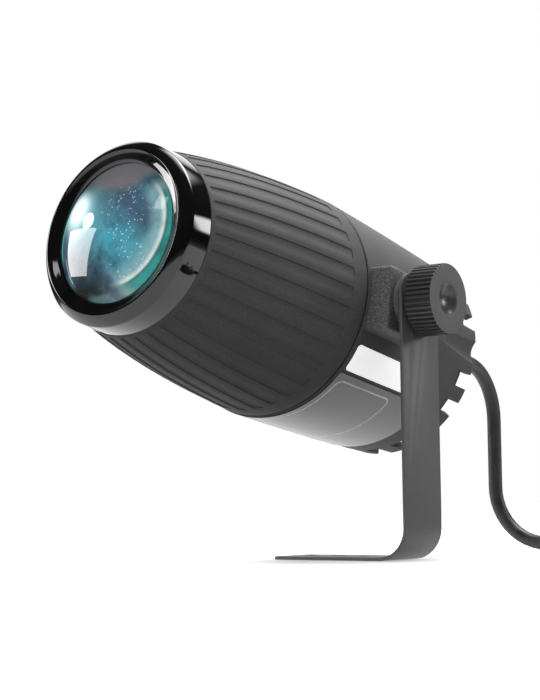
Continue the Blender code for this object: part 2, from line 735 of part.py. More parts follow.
def make_rear_cover(head):
    floor = COVER_A + COVER_T
    inner = COVER_R - SKIRT_T
    points = [(0.0, floor), (inner, floor), (inner, SKIRT_A), (COVER_R, SKIRT_A), (COVER_R, COVER_A)]
    cover = turned("rear_cover", [*points, (0.0, COVER_A)], 44, "coat", head, False)
    posts = bmesh.new()
    holes = bmesh.new()
    for x, y in ring_spots(POST_CIRCLE, POST_ANGLES):
        rod(posts, x, y, floor - SINK, SKIRT_A, LUG_R)
        rod(holes, x, y, COVER_A - CUT_OVER, SKIRT_A + CUT_OVER, SCREW_R + HOLE_PLAY, 12)
    rod(holes, EXIT_X, EXIT_Y, COVER_A - CUT_OVER, floor + CUT_OVER, RELIEF_HOLE, 24)
    boolean(cover, "UNION", cutter_from("cover_posts", posts, head))
    boolean(cover, "DIFFERENCE", cutter_from("cover_holes", holes, head))
    for index, (x, y) in enumerate(ring_spots(POST_CIRCLE, POST_ANGLES), 1):
        screw_piece(f"cover_screw_{index}", x, y, COVER_A - GAP, COVER_SCREW_TIP, 0.0030, 0.0020, head)


def make_strain_relief(head):
    seat = COVER_A - GAP
    step = seat - RELIEF_HEAD_T
    points = [(0.0, RELIEF_INNER), (RELIEF_R, RELIEF_INNER), (RELIEF_R, seat), (RELIEF_HEAD_R, seat)]
    points += [(RELIEF_HEAD_R, step), (RELIEF_TOP, step - 0.0008), (RELIEF_TIP, RELIEF_END)]
    points.append((0.0, RELIEF_END))
    relief = turned("strain_relief", points, 20, "rubber", head, False)
    relief.location = (EXIT_X, EXIT_Y, 0.0)
    nut = bmesh.new()
    floor = COVER_A + COVER_T + GAP
    rod(nut, EXIT_X, EXIT_Y, floor, floor + NUT_T, NUT_R, 6)
    hole = bmesh.new()
    rod(hole, EXIT_X, EXIT_Y, floor - CUT_OVER, floor + NUT_T + CUT_OVER, RELIEF_HOLE, 20)
    boolean(solid_from("relief_nut", nut, "rubber", head), "DIFFERENCE", cutter_from("nut_hole", hole, head))
    tail = bmesh.new()
    rod(tail, EXIT_X, EXIT_Y, RELIEF_INNER + GAP, TAIL_END, CORD_R)
    solid_from("cord_tail", tail, "cord", head)


def make_tray(head):
    """A shallow channel that sits on the housing's rails, with four posts for the board."""
    back, front = TRAY_A - TRAY_L / 2, TRAY_A + TRAY_L / 2
    top = TRAY_Y + TRAY_T
    tray = bmesh.new()
    box(tray, (-TRAY_X, TRAY_Y, back), (TRAY_X, top, front))
    parts = bmesh.new()
    for side in (-1, 1):
        ends = sorted((side * (TRAY_X - TRAY_WALL), side * TRAY_X))
        box(parts, (ends[0], top - SINK, back), (ends[1], TRAY_Y + TRAY_WALL_H, front))
    for x, a in BOARD_POSTS:
        upright(parts, x, a, top - SINK, POST_TOP, 2 * SCREW_R, 8)
    holes = bmesh.new()
    for x in TRAY_SCREW_X:
        upright(holes, x, TRAY_SCREW_A, TRAY_Y - CUT_OVER, top + CUT_OVER, SCREW_R)
    for x, a in BOARD_POSTS:
        upright(holes, x, a, POST_TOP - POST_HOLE, POST_TOP + CUT_OVER, SCREW_R, 8)
    body = solid_from("driver_tray", tray, "plastic", head)
    boolean(body, "UNION", cutter_from("tray_sides", parts, head))
    boolean(body, "DIFFERENCE", cutter_from("tray_holes", holes, head))
    for index, x in enumerate(TRAY_SCREW_X, 1):
        upright_screw(f"tray_screw_{index}", x, TRAY_SCREW_A, top + GAP, RAIL_TOP - 0.0025, head)


def make_board(head):
    board = bmesh.new()
    low = (-BOARD_X, BOARD_Y, TRAY_A - BOARD_L / 2)
    box(board, low, (BOARD_X, BOARD_Y + BOARD_T, TRAY_A + BOARD_L / 2))
    holes = bmesh.new()
    for x, a in BOARD_POSTS:
        upright(holes, x, a, BOARD_Y - CUT_OVER, BOARD_TOP + CUT_OVER, SCREW_R, 8)
    plate = solid_from("driver_board", board, "board", head)
    boolean(plate, "DIFFERENCE", cutter_from("board_holes", holes, head))
    for index, (x, a) in enumerate((BOARD_POSTS[1], BOARD_POSTS[2]), 1):
        upright_screw(f"driver_board_screw_{index}", x, a, BOARD_TOP, POST_TOP - 0.0028, head)


def upright(bm, x, a, low, high, radius, segments=12):
    """A cylinder along the barrel frame's Y, from low to high."""
    where = Matrix.Translation((x, (low + high) / 2, a)) @ Matrix.Rotation(math.pi / 2, 4, "X")
    bmesh.ops.create_cone(
        bm, cap_ends=True, segments=segments, radius1=radius, radius2=radius, depth=high - low, matrix=where
    )


def upright_screw(name, x, a, seat, tip, head):
    obj = screw_piece(name, 0.0, 0.0, seat, tip, 0.0022, 0.0014, head)
    obj.rotation_euler = (-math.pi / 2, 0.0, 0.0)
    obj.location = (x, 0.0, a)
    return obj


def make_components(head):
    for name, look, x, width, a, length, height in BLOCKS:
        bm = bmesh.new()
        low = (x - width / 2, BOARD_TOP, TRAY_A + a - length / 2)
        box(bm, low, (x + width / 2, BOARD_TOP + height, TRAY_A + a + length / 2))
        bmesh.ops.bevel(bm, geom=bm.edges[:], offset=BLOCK_EDGE, segments=1, affect="EDGES")
        solid_from(name, bm, look, head)
    for name, look, x, a, radius, height in CANS:
        bm = bmesh.new()
        upright(bm, x, TRAY_A + a, BOARD_TOP, BOARD_TOP + height, radius, 20)
        solid_from(name, bm, look, head)


def bezier(points, count):
    """Points on the cubic curve through four control points."""
    a, b, c, d = (Vector(p) for p in points)
    found = []
    for step in range(count + 1):
        t = step / count
        s = 1 - t
        found.append(a * s**3 + 3 * b * s * s * t + 3 * c * s * t * t + d * t**3)
    return found


def make_wires(head):
    """Three mains wires from the cord to the terminal block, and two from the board to the LED."""
    block_end = TRAY_A - 0.0136
    for name, look, angle, entry, near, far in MAINS_WIRES:
        x = EXIT_X + WIRE_LAY_R * math.cos(math.radians(angle))
        y = EXIT_Y + WIRE_LAY_R * math.sin(math.radians(angle))
        start = (x, y, TAIL_END + GAP)
        leave = (x, y, start[2] + WIRE_STRAIGHT)
        end = (entry, TERMINAL_Y, block_end - GAP)
        meet = (entry, TERMINAL_Y, end[2] - WIRE_STRAIGHT)
        route = bezier((leave, (x, y, TAIL_END + near), (entry, TERMINAL_Y, TAIL_END + far), meet), 10)
        tube(name, [start, *route, end], MAINS_WIRE_R, look, head, 0)
    arch = LEDGE_A + 0.015
    for name, look, a, y, pad in LED_WIRES:
        x = LED_WIRE_X - 0.0025
        low = (LED_WIRE_X, y, LEDGE_A + 0.006)
        route = [(x, BOARD_TOP, a)]
        up = ((x, BOARD_TOP + 0.002, a), (x, y, a), (LED_WIRE_X, y, a), (LED_WIRE_X, y, LEDGE_A - 0.017))
        route += bezier(up, 6)
        route += bezier((low, (LED_WIRE_X, y, arch), (pad, y, arch), (pad, y, SPIGOT_END + 0.0029)), 7)
        route += [(pad, y, SPIGOT_END + LED_BOARD_T + GAP)]
        tube(name, route, LED_WIRE_R, look, head, 0)


def make_pivot(head):
    inner = STUD_R + HOLE_PLAY
    out = COLLAR_X - GAP
    points = [(inner, out), (INSERT_R, out), (INSERT_R, INSERT_IN), (inner, INSERT_IN)]
    along_x(turned("pivot_insert", points, 24, "brass", head))
    low = COLLAR_X + GAP
    high = ARM_X - SHEET - GAP
    points = [(inner + GAP, high), (TILT_WASHER_R, high), (TILT_WASHER_R, low), (inner + GAP, low)]
    along_x(turned("tilt_washer", points, 24, "rubber", head))


def knob_outline():
    points = []
    for index in range(KNOB_RIBS):
        root = KNOB_R - RIB_DEPTH
        for part, radius in ((-RIB_FOOT, root), (-RIB_TOP, KNOB_R), (RIB_TOP, KNOB_R), (RIB_FOOT, root)):
            turn = 2 * math.pi * (index + part) / KNOB_RIBS
            points.append((radius * math.cos(turn), radius * math.sin(turn), 0.0))
    return points


def make_knob(head):
    axis = bpy.data.objects.new("knob_axis", None)
    axis.parent = head
    PARTS.objects.link(axis)
    low = ARM_X + GAP
    inner = STUD_R + HOLE_PLAY
    high = KNOB_BACK - GAP
    points = [(inner, high), (KNOB_WASHER_R, high), (KNOB_WASHER_R, low), (inner, low)]
    along_x(turned("knob_washer", points, 24, "steel", axis))
    data = bpy.data.curves.new("tilt_knob", "CURVE")
    data.dimensions = "2D"
    data.fill_mode = "BOTH"
    data.extrude = (KNOB_FRONT - KNOB_BACK) / 2
    line = data.splines.new("POLY")
    outline = knob_outline()
    line.points.add(len(outline) - 1)
    for point, where in zip(line.points, outline):
        point.co = (*where, 1.0)
    line.use_cyclic_u = True
    guide = bpy.data.objects.new("knob_outline", data)
    PARTS.objects.link(guide)
    bpy.context.view_layer.update()
    mesh = bpy.data.meshes.new_from_object(guide.evaluated_get(bpy.context.evaluated_depsgraph_get()))
    bpy.data.objects.remove(guide)
    bm = bmesh.new()
    bm.from_mesh(mesh)
    bmesh.ops.remove_doubles(bm, verts=bm.verts[:], dist=SMOOTH_WELD)
    bmesh.ops.dissolve_limit(bm, angle_limit=0.01, verts=bm.verts[:], edges=bm.edges[:])
    bm.to_mesh(mesh)
    bm.free()
    knob = place(bpy.data.objects.new("tilt_knob", mesh), "plastic", axis)
    along_x(knob, (KNOB_FRONT + KNOB_BACK) / 2)
    ball = (DIMPLE_R**2 + DIMPLE_DEPTH**2) / (2 * DIMPLE_DEPTH)
    cuts = bmesh.new()
    where = Matrix.Translation((KNOB_FRONT - DIMPLE_DEPTH + ball, 0.0, 0.0))
    where = where @ Matrix.Rotation(math.pi / 2, 4, "Y")
    bmesh.ops.create_uvsphere(cuts, u_segments=24, v_segments=16, radius=ball, matrix=where)
    boolean(knob, "DIFFERENCE", cutter_from("knob_dimple", cuts, axis))
    cuts = bmesh.new()
    rod_x(cuts, 0.0, 0.0, KNOB_BACK - CUT_OVER, STUD_END + GAP, inner, 24)
    boolean(knob, "DIFFERENCE", cutter_from("knob_bore", cuts, axis))
    point = STUD_R - 0.001
    points = [(0.0, STUD_END), (STUD_R, STUD_END), (STUD_R, STUD_TIP + 0.001), (point, STUD_TIP)]
    points.append((0.0, STUD_TIP))
    along_x(turned("knob_stud", points, 20, "steel", axis, closed=False))


def make_label(head, name, look, start, sweep, front, back, steps):
    """A thin skin on the rear housing, from one angle over a sweep and from front to back."""
    stations = [front, *(a for a in REAR_STATIONS if back < a < front), back]
    points = [(rear_radius(a) + SKIN_GAP, a) for a in stations]
    obj = bpy.data.objects.new(name, profile_mesh(name, points, False))
    place(obj, look, head)
    obj.rotation_euler.z = math.radians(start)
    screw(obj, steps, math.radians(sweep)).modifiers["turn"].use_merge_vertices = False
    skin = obj.modifiers.new("film", "SOLIDIFY")
    skin.thickness = LABEL_T
    skin.offset = 1.0


def exit_in_world(head):
    bpy.context.view_layer.update()
    start = head.matrix_world @ Vector((EXIT_X, EXIT_Y, RELIEF_END - GAP))
    way = head.matrix_world.to_3x3() @ Vector((0.0, 0.0, -1.0))
    return start, way.normalized()


def lead_route(head):
    """Out of the strain relief, down under its own weight, and along the floor to the coil."""
    start, way = exit_in_world(head)
    bend_from = start + way * 2 * CORD_R
    dip = math.atan2(-way.z, way.y)
    centre = bend_from + Vector((0.0, -math.sin(dip), -math.cos(dip))) * BEND
    route = [start]
    for step in range(6):
        turn = dip + (math.pi / 2 - dip) * step / 5
        route.append(centre + Vector((0.0, math.sin(turn), math.cos(turn))) * BEND)
    low = CORD_R + BEND
    bottom = Vector((route[-1].x, route[-1].y, low))
    route.append((route[-1] + bottom) / 2)
    centre = bottom + Vector((BEND, 0.0, 0.0))
    for step in range(6):
        turn = math.pi / 2 * step / 5
        route.append(centre - Vector((math.cos(turn), 0.0, math.sin(turn))) * BEND)
    end = coil_route()[0] - Vector((GAP, 0.0, 0.0))
    first = route.pop()
    straight = Vector((2 * CORD_R, 0.0, 0.0))
    pull = Vector((0.025, 0.0, 0.0))
    route += bezier((first, first + pull, end - straight - pull, end - straight), 7)
    route.append(end)
    return route


def coil_point(turn):
    """A point of the piled coil: in along the floor, up at the inside, and out on top."""
    outer = COIL_MID + COIL_PITCH * COIL_LAYER_TURNS / 2
    inner = outer - COIL_PITCH * COIL_LAYER_TURNS
    throat = inner - THROAT_IN
    up = COIL_LAYER_TURNS + COIL_RAMP
    if turn <= COIL_LAYER_TURNS:
        radius, lift = outer - COIL_PITCH * turn, 0.0
    elif turn <= up:
        part = (turn - COIL_LAYER_TURNS) / COIL_RAMP
        radius, lift = inner + (throat - inner) * part, part * part * (3 - 2 * part)
    else:
        radius, lift = throat + (outer - throat) * (turn - up) / (COIL_TURNS - up), 1.0
    angle = math.pi / 2 - 2 * math.pi * turn
    height = COIL_Z + COIL_PITCH * lift
    return Vector((COIL_X + radius * math.cos(angle), COIL_Y + radius * math.sin(angle), height))


def coil_route():
    """The coil as one line: a straight start, the loops, and the tail that comes down to the plug."""
    count = round(COIL_TURNS * 24)
    loops = [coil_point(COIL_TURNS * step / count) for step in range(count + 1)]
    route = [loops[0] - Vector((2 * CORD_R, 0.0, 0.0)), *loops]
    last = loops[-1]
    entry = Vector((last.x, last.y - TAIL, PLUG_ENTRY_Z))
    pull = Vector((0.0, 0.010, 0.0))
    route += bezier((last, last - 2 * pull, entry + 2 * pull, entry + pull), 4)[1:]
    route.append(entry)
    return route


def self_gap(route, radius, apart):
    """The least clear distance between two stretches of a tube that are further along it than apart."""
    along = [0.0]
    for a, b in zip(route, route[1:]):
        along.append(along[-1] + (b - a).length)
    fine = []
    for (a, s), (b, t) in zip(zip(route, along), zip(route[1:], along[1:])):
        fine += [(a.lerp(b, k / 4), s + (t - s) * k / 4) for k in range(4)]
    least = 1.0
    for index, (p, s) in enumerate(fine):
        for q, t in fine[index + 1:]:
            if t - s > apart:
                least = min(least, (p - q).length)
    return least - 2 * radius


def route_length(route):
    return sum((b - a).length for a, b in zip(route, route[1:]))


def make_tie():
    """A flat strap round the two layers of the coil."""
    turn = Matrix.Translation((COIL_X, COIL_Y, 0.0)) @ Matrix.Rotation(math.radians(TIE_TURN), 4, "Z")
    low = Vector((COIL_MID - TIE_IN, -TIE_W / 2, 0.0001))
    high = Vector((COIL_MID + TIE_OUT, TIE_W / 2, COIL_Z + COIL_PITCH + CORD_R + TIE_ROOM + TIE_T))
    outer = bmesh.new()
    box(outer, low, high, turn)
    tie = solid_from("cord_tie", outer, "rubber")
    inner = bmesh.new()
    inset = Vector((TIE_T, -CUT_OVER, TIE_T))
    box(inner, low + inset, high - inset, turn)
    boolean(tie, "DIFFERENCE", cutter_from("tie_opening", inner))


def make_plug():
    end = coil_route()[-1]
    x = end.x
    y = end.y - GAP - PLUG_COLLAR - PLUG_R + 0.002
    body = bmesh.new()
    rod(body, x, y, 0.0, PLUG_H, PLUG_R, 32)
    rims = [e for e in body.edges if abs(e.verts[0].co.z - e.verts[1].co.z) < SMOOTH_WELD]
    bmesh.ops.bevel(body, geom=rims, offset=PLUG_EDGE, segments=1, affect="EDGES")
    plug = solid_from("plug_body", body, "rubber")
    collar = bmesh.new()
    start = y + PLUG_R - 0.004
    length = end.y - GAP - start
    where = Matrix.Translation((x, start + length / 2, PLUG_ENTRY_Z)) @ Matrix.Rotation(-math.pi / 2, 4, "X")
    bmesh.ops.create_cone(
        collar, cap_ends=True, segments=16, radius1=2 * CORD_R, radius2=CORD_R + 0.001, depth=length,
        matrix=where
    )
    boolean(plug, "UNION", cutter_from("plug_collar", collar))
    holes = bmesh.new()
    for side in (-1, 1):
        rod(holes, x + side * PLUG_PIN_X, y, PLUG_PIN_FOOT - GAP, PLUG_H + CUT_OVER, PLUG_PIN_R + HOLE_PLAY)
        middle = y + side * (PLUG_R + 0.0005)
        low = (x - EARTH_W / 2 - GAP, middle - 0.0015, EARTH_FOOT - GAP)
        box(holes, low, (x + EARTH_W / 2 + GAP, middle + 0.0015, PLUG_H + CUT_OVER))
    boolean(plug, "DIFFERENCE", cutter_from("plug_holes", holes))
    return x, y


def make_plug_metal(x, y):
    tip = PLUG_PIN_R - 0.0008
    shoulder = PLUG_PIN_END - 0.0015
    points = [(0.0, PLUG_PIN_END), (tip, PLUG_PIN_END), (PLUG_PIN_R, shoulder), (PLUG_PIN_R, PLUG_PIN_FOOT)]
    for name, side in (("line", -1), ("neutral", 1)):
        pin = turned(f"plug_pin_{name}", [*points, (0.0, PLUG_PIN_FOOT)], 16, "steel", None, False)
        pin.location = (x + side * PLUG_PIN_X, y, 0.0)
    for index, side in enumerate((-1, 1), 1):
        strip = bmesh.new()
        middle = y + side * (PLUG_R + 0.0001)
        low = (x - EARTH_W / 2, middle - EARTH_T / 2, EARTH_FOOT)
        box(strip, low, (x + EARTH_W / 2, middle + EARTH_T / 2, PLUG_H - 0.001))
        solid_from(f"plug_earth_{index}", strip, "steel")


clear_scene()
PARTS = new_collection("led_pinspot_light")
CUTTERS = new_collection("cutters")

head_axis = bpy.data.objects.new("head_axis", None)
head_axis.location = (0.0, 0.0, PIVOT_Z)
head_axis.rotation_euler = (math.pi / 2 - TILT, 0.0, 0.0)
PARTS.objects.link(head_axis)
ring_axis = bpy.data.objects.new("ring_axis", None)
ring_axis.parent = head_axis
PARTS.objects.link(ring_axis)

make_bracket()
make_front_housing(head_axis)
make_rear_housing(head_axis)
make_lens_ring(ring_axis)
make_lens(ring_axis)
make_heat_sink(head_axis)
make_led(head_axis)
make_housing_screws(head_axis)
make_rear_cover(head_axis)
make_strain_relief(head_axis)
make_tray(head_axis)
make_board(head_axis)
make_components(head_axis)
make_wires(head_axis)
make_pivot(head_axis)
make_knob(head_axis)
make_label(head_axis, "rating_label", "film", *LABEL_TURN, LABEL_FRONT, LABEL_BACK, 23)
make_label(head_axis, "serial_sticker", "white", *STICKER_TURN, STICKER_FRONT, STICKER_BACK, 4)

lead = lead_route(head_axis)
coil = coil_route()
tube("cord_lead", lead, CORD_R, "cord", None, 3)
tube("cord_coil", coil, CORD_R, "cord", None, 1)
make_tie()
make_plug_metal(*make_plug())
print(f"lead {route_length(lead):.4f} m in {len(lead)} points")
print(f"coil {route_length(coil):.4f} m in {len(coil)} points")
print(f"least gap between the coil's loops {self_gap(coil, CORD_R, 0.12) * 1000:.2f} mm")
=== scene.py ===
"""A small led pinspot on its one-armed bracket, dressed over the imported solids.

Lengths are in metres. The barrel's pieces are drawn in the barrel's own frame, where X is the tilt
axis, Y points up and Z runs along the barrel to the lens, and are then put in place with BARREL.
"""

import math

import bmesh
import bpy
from mathutils import Matrix, Vector


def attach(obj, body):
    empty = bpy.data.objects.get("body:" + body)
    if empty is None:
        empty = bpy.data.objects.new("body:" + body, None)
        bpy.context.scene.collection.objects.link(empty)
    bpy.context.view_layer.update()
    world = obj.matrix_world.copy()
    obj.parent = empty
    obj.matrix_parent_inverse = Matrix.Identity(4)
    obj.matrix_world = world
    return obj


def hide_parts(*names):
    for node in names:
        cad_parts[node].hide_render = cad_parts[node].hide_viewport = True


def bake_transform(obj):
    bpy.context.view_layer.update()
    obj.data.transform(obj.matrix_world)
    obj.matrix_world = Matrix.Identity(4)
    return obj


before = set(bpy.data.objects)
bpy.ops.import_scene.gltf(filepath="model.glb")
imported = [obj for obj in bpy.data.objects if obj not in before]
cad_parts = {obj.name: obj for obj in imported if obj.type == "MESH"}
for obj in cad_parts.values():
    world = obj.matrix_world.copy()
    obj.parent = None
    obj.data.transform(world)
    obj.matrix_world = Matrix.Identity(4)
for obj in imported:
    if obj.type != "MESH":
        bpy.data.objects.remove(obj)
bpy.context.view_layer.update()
bpy.context.scene.view_settings.view_transform = "Standard"

# Barrel: A is a place along it, R a radius
TILT = math.radians(10.8)
PIVOT = Vector((0.0, 0.0, 0.1154))
BARREL = Matrix.Translation(PIVOT) @ Matrix.Rotation(math.pi / 2 - TILT, 4, "X")
ALONG_X = Matrix.Rotation(math.pi / 2, 4, "Y")
GAP = 0.0003
RING_A = 0.1147
SEAM_A = 0.0165
REAR_A = -0.0842
SEAM_R = 0.0538
FRONT_TAPER = (0.0053, 0.0034, 0.0040)
REAR_TAPER = (0.0014, 0.0017)
REAR_STATIONS = (0.0, -0.0187, -0.036, -0.054)
WALL = 0.0031
CHANNELS = 36
CHANNEL_START = 0.1122
CHANNEL_END = 0.0273
CHANNEL_DEPTH = 0.0005
CHANNEL_PHASE = -2.4
TEETH = 21
NOTCH_A = -0.0720
NOTCH_PHASE = -1.5
POCKETS = (0, 7, 14)
POCKET_A = -0.0480
POCKET_R = 0.0085
POCKET_LEAN = 6.3
POST_CIRCLE = 0.0402
POST_ANGLES = (90.0, 200.0, 340.0)
COVER_A = -0.0807

# Lens, knob and labels
LENS_R = 0.0332
LENS_BACK_A = 0.1216
LENS_EDGE_A = 0.1251
LENS_DOME = 0.075
KNOB_RIBS = 44
KNOB_BACK = 0.07165
KNOB_FRONT = 0.0853
BOWL_R = 0.0072
BOWL_DEPTH = 0.0031
LABEL_LIFT = 0.0002
LABEL_T = 0.00015

# Bracket
SHEET = 0.0015
BRACKET_W = 0.030
ARM_X = 0.0703
ARM_TOP = 0.1274
ARM_CORNER = 0.008
BASE_END = -0.003
BASE_CORNER = 0.003
BEND_R = 0.0145
BEND_STEPS = 16
BASE_HOLES = ((0.009, 0.00325), (0.026, 0.0028), (0.0385, 0.0026))
STUD_HOLE_R = 0.0045
SOFT_EDGE = 0.00022
TINY = 0.000001

# Cord, its tie and the plug
CORD_R = 0.0036
EXIT = Vector((0.028, 0.003, -0.1100))
BEND = 0.0292
COIL_X = 0.145
COIL_Y = 0.097
COIL_MID = 0.0396
COIL_PITCH = 0.0079
COIL_TURNS = 4.25
COIL_LAYER_TURNS = 2.0
COIL_RAMP = 1.0 / 3.0
COIL_Z = 0.0048
THROAT_IN = 0.0016
TIE_T = 0.0008
TIE_ROOM = 0.0005
TIE_TURN = 200.0
PLUG_ENTRY_Z = 0.0088
TAIL = 0.046
PLUG_COLLAR = 0.026
PLUG_COLLAR_R = 0.0070
PLUG_SINK = 0.002
PLUG_R = 0.0185
PLUG_H = 0.017
PLUG_PIN_X = 0.0095

# Camera, as the photograph gives it
CAMERA_TURN = 37.0
CAMERA_RISE = -5.03
CAMERA_ROLL = -0.71
CAMERA_FROM_PIVOT = Vector((0.47032, -0.64290, -0.08741))
FOCAL_PIXELS = 1690.57
PICTURE_WIDTH = 540.0
SENSOR = 36.0

# Light: how bright each lamp is, and what it points at
LEFT_SOFTBOX = 7.5
SMALL_LAMP = 14.0
REAR_SOFTBOX = 9.0
TOP_STRIP = 11.0
OVERHEAD = 8.5
FRONT_SPARK = 5.0
FRONT_FILL = 3.6
RIGHT_FILL = 3.0
FILL = 0.16
LENS_MIDDLE = Vector((0.0, -0.1277, 0.1397))
BODY_MIDDLE = Vector((0.0, 0.0, 0.1))
WHITE = (1.0, 1.0, 1.0)
TABLE = 8.0


# Camera


def direction(azimuth, elevation):
    """The way to an azimuth, in degrees from the front towards the right, and an elevation."""
    turned, raised = math.radians(azimuth), math.radians(elevation)
    level = math.cos(raised)
    return Vector((math.sin(turned) * level, -math.cos(turned) * level, math.sin(raised)))


def standing(across, up, back, at):
    """The place of a camera or a lamp whose own axes are given."""
    place = Matrix((across, up, back)).transposed().to_4x4()
    place.translation = at
    return place


def set_camera():
    """The photograph's view: from the front and right, a little below the barrel."""
    turned, roll = math.radians(CAMERA_TURN), math.radians(CAMERA_ROLL)
    back = direction(CAMERA_TURN, CAMERA_RISE)
    right = Vector((math.cos(turned), math.sin(turned), 0.0))
    up = back.cross(right)
    across = right * math.cos(roll) + up * math.sin(roll)
    above = up * math.cos(roll) - right * math.sin(roll)
    data = bpy.data.cameras.new("studio_camera")
    data.sensor_fit = "HORIZONTAL"
    data.sensor_width = SENSOR
    data.lens = SENSOR * FOCAL_PIXELS / PICTURE_WIDTH
    data.clip_start = 0.05
    camera = bpy.data.objects.new("studio_camera", data)
    bpy.context.scene.collection.objects.link(camera)
    camera.matrix_world = standing(across, above, back, PIVOT + CAMERA_FROM_PIVOT)
    bpy.context.scene.camera = camera


# Nodes


def feed(tree, socket, value):
    """Wires another node's output to a socket, or sets the socket to a plain value or colour."""
    if isinstance(value, bpy.types.NodeSocket):
        tree.links.new(value, socket)
    elif socket.type == "RGBA":
        socket.default_value = (*value, 1.0)
    else:
        socket.default_value = value


def add_node(tree, kind, inputs=None, **settings):
    made = tree.nodes.new("ShaderNode" + kind)
    for key, value in settings.items():
        setattr(made, key, value)
    for key, value in (inputs or {}).items():
        feed(tree, made.inputs[key], value)
    return made


def calc(tree, operation, *values):
    return add_node(tree, "Math", dict(enumerate(values)), operation=operation).outputs[0]


def calc_vector(tree, operation, *vectors):
    outputs = add_node(tree, "VectorMath", dict(enumerate(vectors)), operation=operation).outputs
    return outputs["Value" if operation in ("LENGTH", "DISTANCE", "DOT_PRODUCT") else "Vector"]


def times(tree, first, *others):
    for other in others:
        first = calc(tree, "MULTIPLY", first, other)
    return first


def fade(tree, value, start, end, low=0.0, high=1.0, smooth=False):
    """Goes from low to high while the value goes from start to end."""
    ends = {"Value": value, "From Min": start, "From Max": end, "To Min": low, "To Max": high}
    kind = "SMOOTHSTEP" if smooth else "LINEAR"
    return add_node(tree, "MapRange", ends, interpolation_type=kind).outputs["Result"]


def ramp(tree, value, *stops):
    made = add_node(tree, "ValToRGB", {"Fac": value})
    elements = made.color_ramp.elements
    while len(elements) < len(stops):
        elements.new(0.5)
    for element, (at, colour) in zip(elements, stops):
        element.position = at
        element.color = (*colour, 1.0)
    return made.outputs["Color"]


def spread(tree, value, low, high):
    """One colour in the hollows of a noise and another on its heights."""
    return ramp(tree, value, (0.3, low), (0.7, high))


def mix(tree, under, upper, factor, kind="MIX"):
    """Lays one colour over another, by the factor."""
    colours = {"Factor": factor, 6: under, 7: upper}
    return add_node(tree, "Mix", colours, data_type="RGBA", blend_type=kind).outputs[2]


def object_place(tree, matrix=None):
    """Object coordinates, turned into the barrel's frame where a matrix is given."""
    place = add_node(tree, "TexCoord").outputs["Object"]
    if matrix is None:
        return place
    back = matrix.inverted()
    turned = {"Vector": place, "Location": back.translation, "Rotation": back.to_euler()}
    return add_node(tree, "Mapping", turned, vector_type="POINT").outputs["Vector"]


def noise(tree, place, scale, detail=2.0, roughness=0.5):
    grain = {"Vector": place, "Scale": scale, "Detail": detail, "Roughness": roughness}
    return add_node(tree, "TexNoise", grain).outputs["Fac"]


def bump(tree, height, strength, distance):
    relief = {"Height": height, "Strength": strength, "Distance": distance}
    return add_node(tree, "Bump", relief).outputs["Normal"]


def grey(level):
    return (level, level, level)


def scaled(colour, by):
    return tuple(channel * by for channel in colour)


# Finishes


def new_finish(name):
    look = bpy.data.materials.new(name)
    look.use_nodes = True
    return look, look.node_tree


def finish(look, **inputs):
    """Gives the look's shader plain values or other nodes' outputs."""
    sockets = look.node_tree.nodes["Principled BSDF"].inputs
    for name, value in inputs.items():
        feed(look.node_tree, sockets[name.replace("_", " ")], value)
    return look


def powder_coat(name, colour, grain, depth, specks_and_glints=0.35, roughness=0.68, shine=0.35, shade=0.8):
    """Textured powder coat: a fine pebbled skin with painted shade in its hollows and lighter flecks on its
    high spots, both its own speckle and painted glints.
    """
    look, tree = new_finish(name)
    place = object_place(tree)
    pebbles = noise(tree, place, grain, 3.0, 0.6)
    flecks_and_glints = scaled(colour, 1.0 + specks_and_glints)
    tone = ramp(tree, pebbles, (0.36, scaled(colour, shade)), (0.52, colour), (0.68, flecks_and_glints))
    drift = spread(tree, noise(tree, place, 35.0), grey(0.94), grey(1.04))
    rough = spread(tree, pebbles, grey(roughness + 0.08), grey(roughness - 0.06))
    finish(look, Base_Color=mix(tree, tone, drift, 1.0, "MULTIPLY"), Roughness=rough)
    return finish(look, Specular_IOR_Level=shine, Normal=bump(tree, pebbles, 1.0, depth))


def moulded(name, colour, roughness, grain=2200.0, depth=0.00002):
    """Moulded plastic or rubber with a fine spark-eroded grain."""
    look, tree = new_finish(name)
    place = object_place(tree)
    grains = noise(tree, place, grain)
    tone = spread(tree, noise(tree, place, 60.0, 3.0), scaled(colour, 0.9), scaled(colour, 1.1))
    rough = spread(tree, grains, grey(roughness + 0.05), grey(roughness - 0.05))
    return finish(look, Base_Color=tone, Roughness=rough, Normal=bump(tree, grains, 1.0, depth))


def metal(name, colour, roughness, streak=(60.0, 60.0, 1500.0)):
    """Plated or turned metal with fine streaks from its making."""
    look, tree = new_finish(name)
    drawn = add_node(tree, "Mapping", {"Vector": object_place(tree), "Scale": streak})
    lines = noise(tree, drawn.outputs["Vector"], 1.0, 3.0)
    tone = spread(tree, lines, scaled(colour, 0.85), colour)
    rough = spread(tree, lines, grey(roughness + 0.12), grey(roughness - 0.05))
    relief = bump(tree, lines, 0.6, 0.00001)
    return finish(look, Metallic=1.0, Base_Color=tone, Roughness=rough, Normal=relief)


def knob_moulding():
    """The knob's plain moulding, with its bowl as smooth as the tool's polished tip left it."""
    look = moulded("knob_moulding", (0.046, 0.046, 0.048), 0.50)
    tree = look.node_tree
    off = calc_vector(tree, "MULTIPLY_ADD", object_place(tree), (0.0, 1.0, 1.0), (0.0, 0.0, -PIVOT.z))
    reach = calc_vector(tree, "LENGTH", off)
    return finish(look, Roughness=fade(tree, reach, BOWL_R - 0.0006, BOWL_R + 0.0004, 0.29, 0.52))


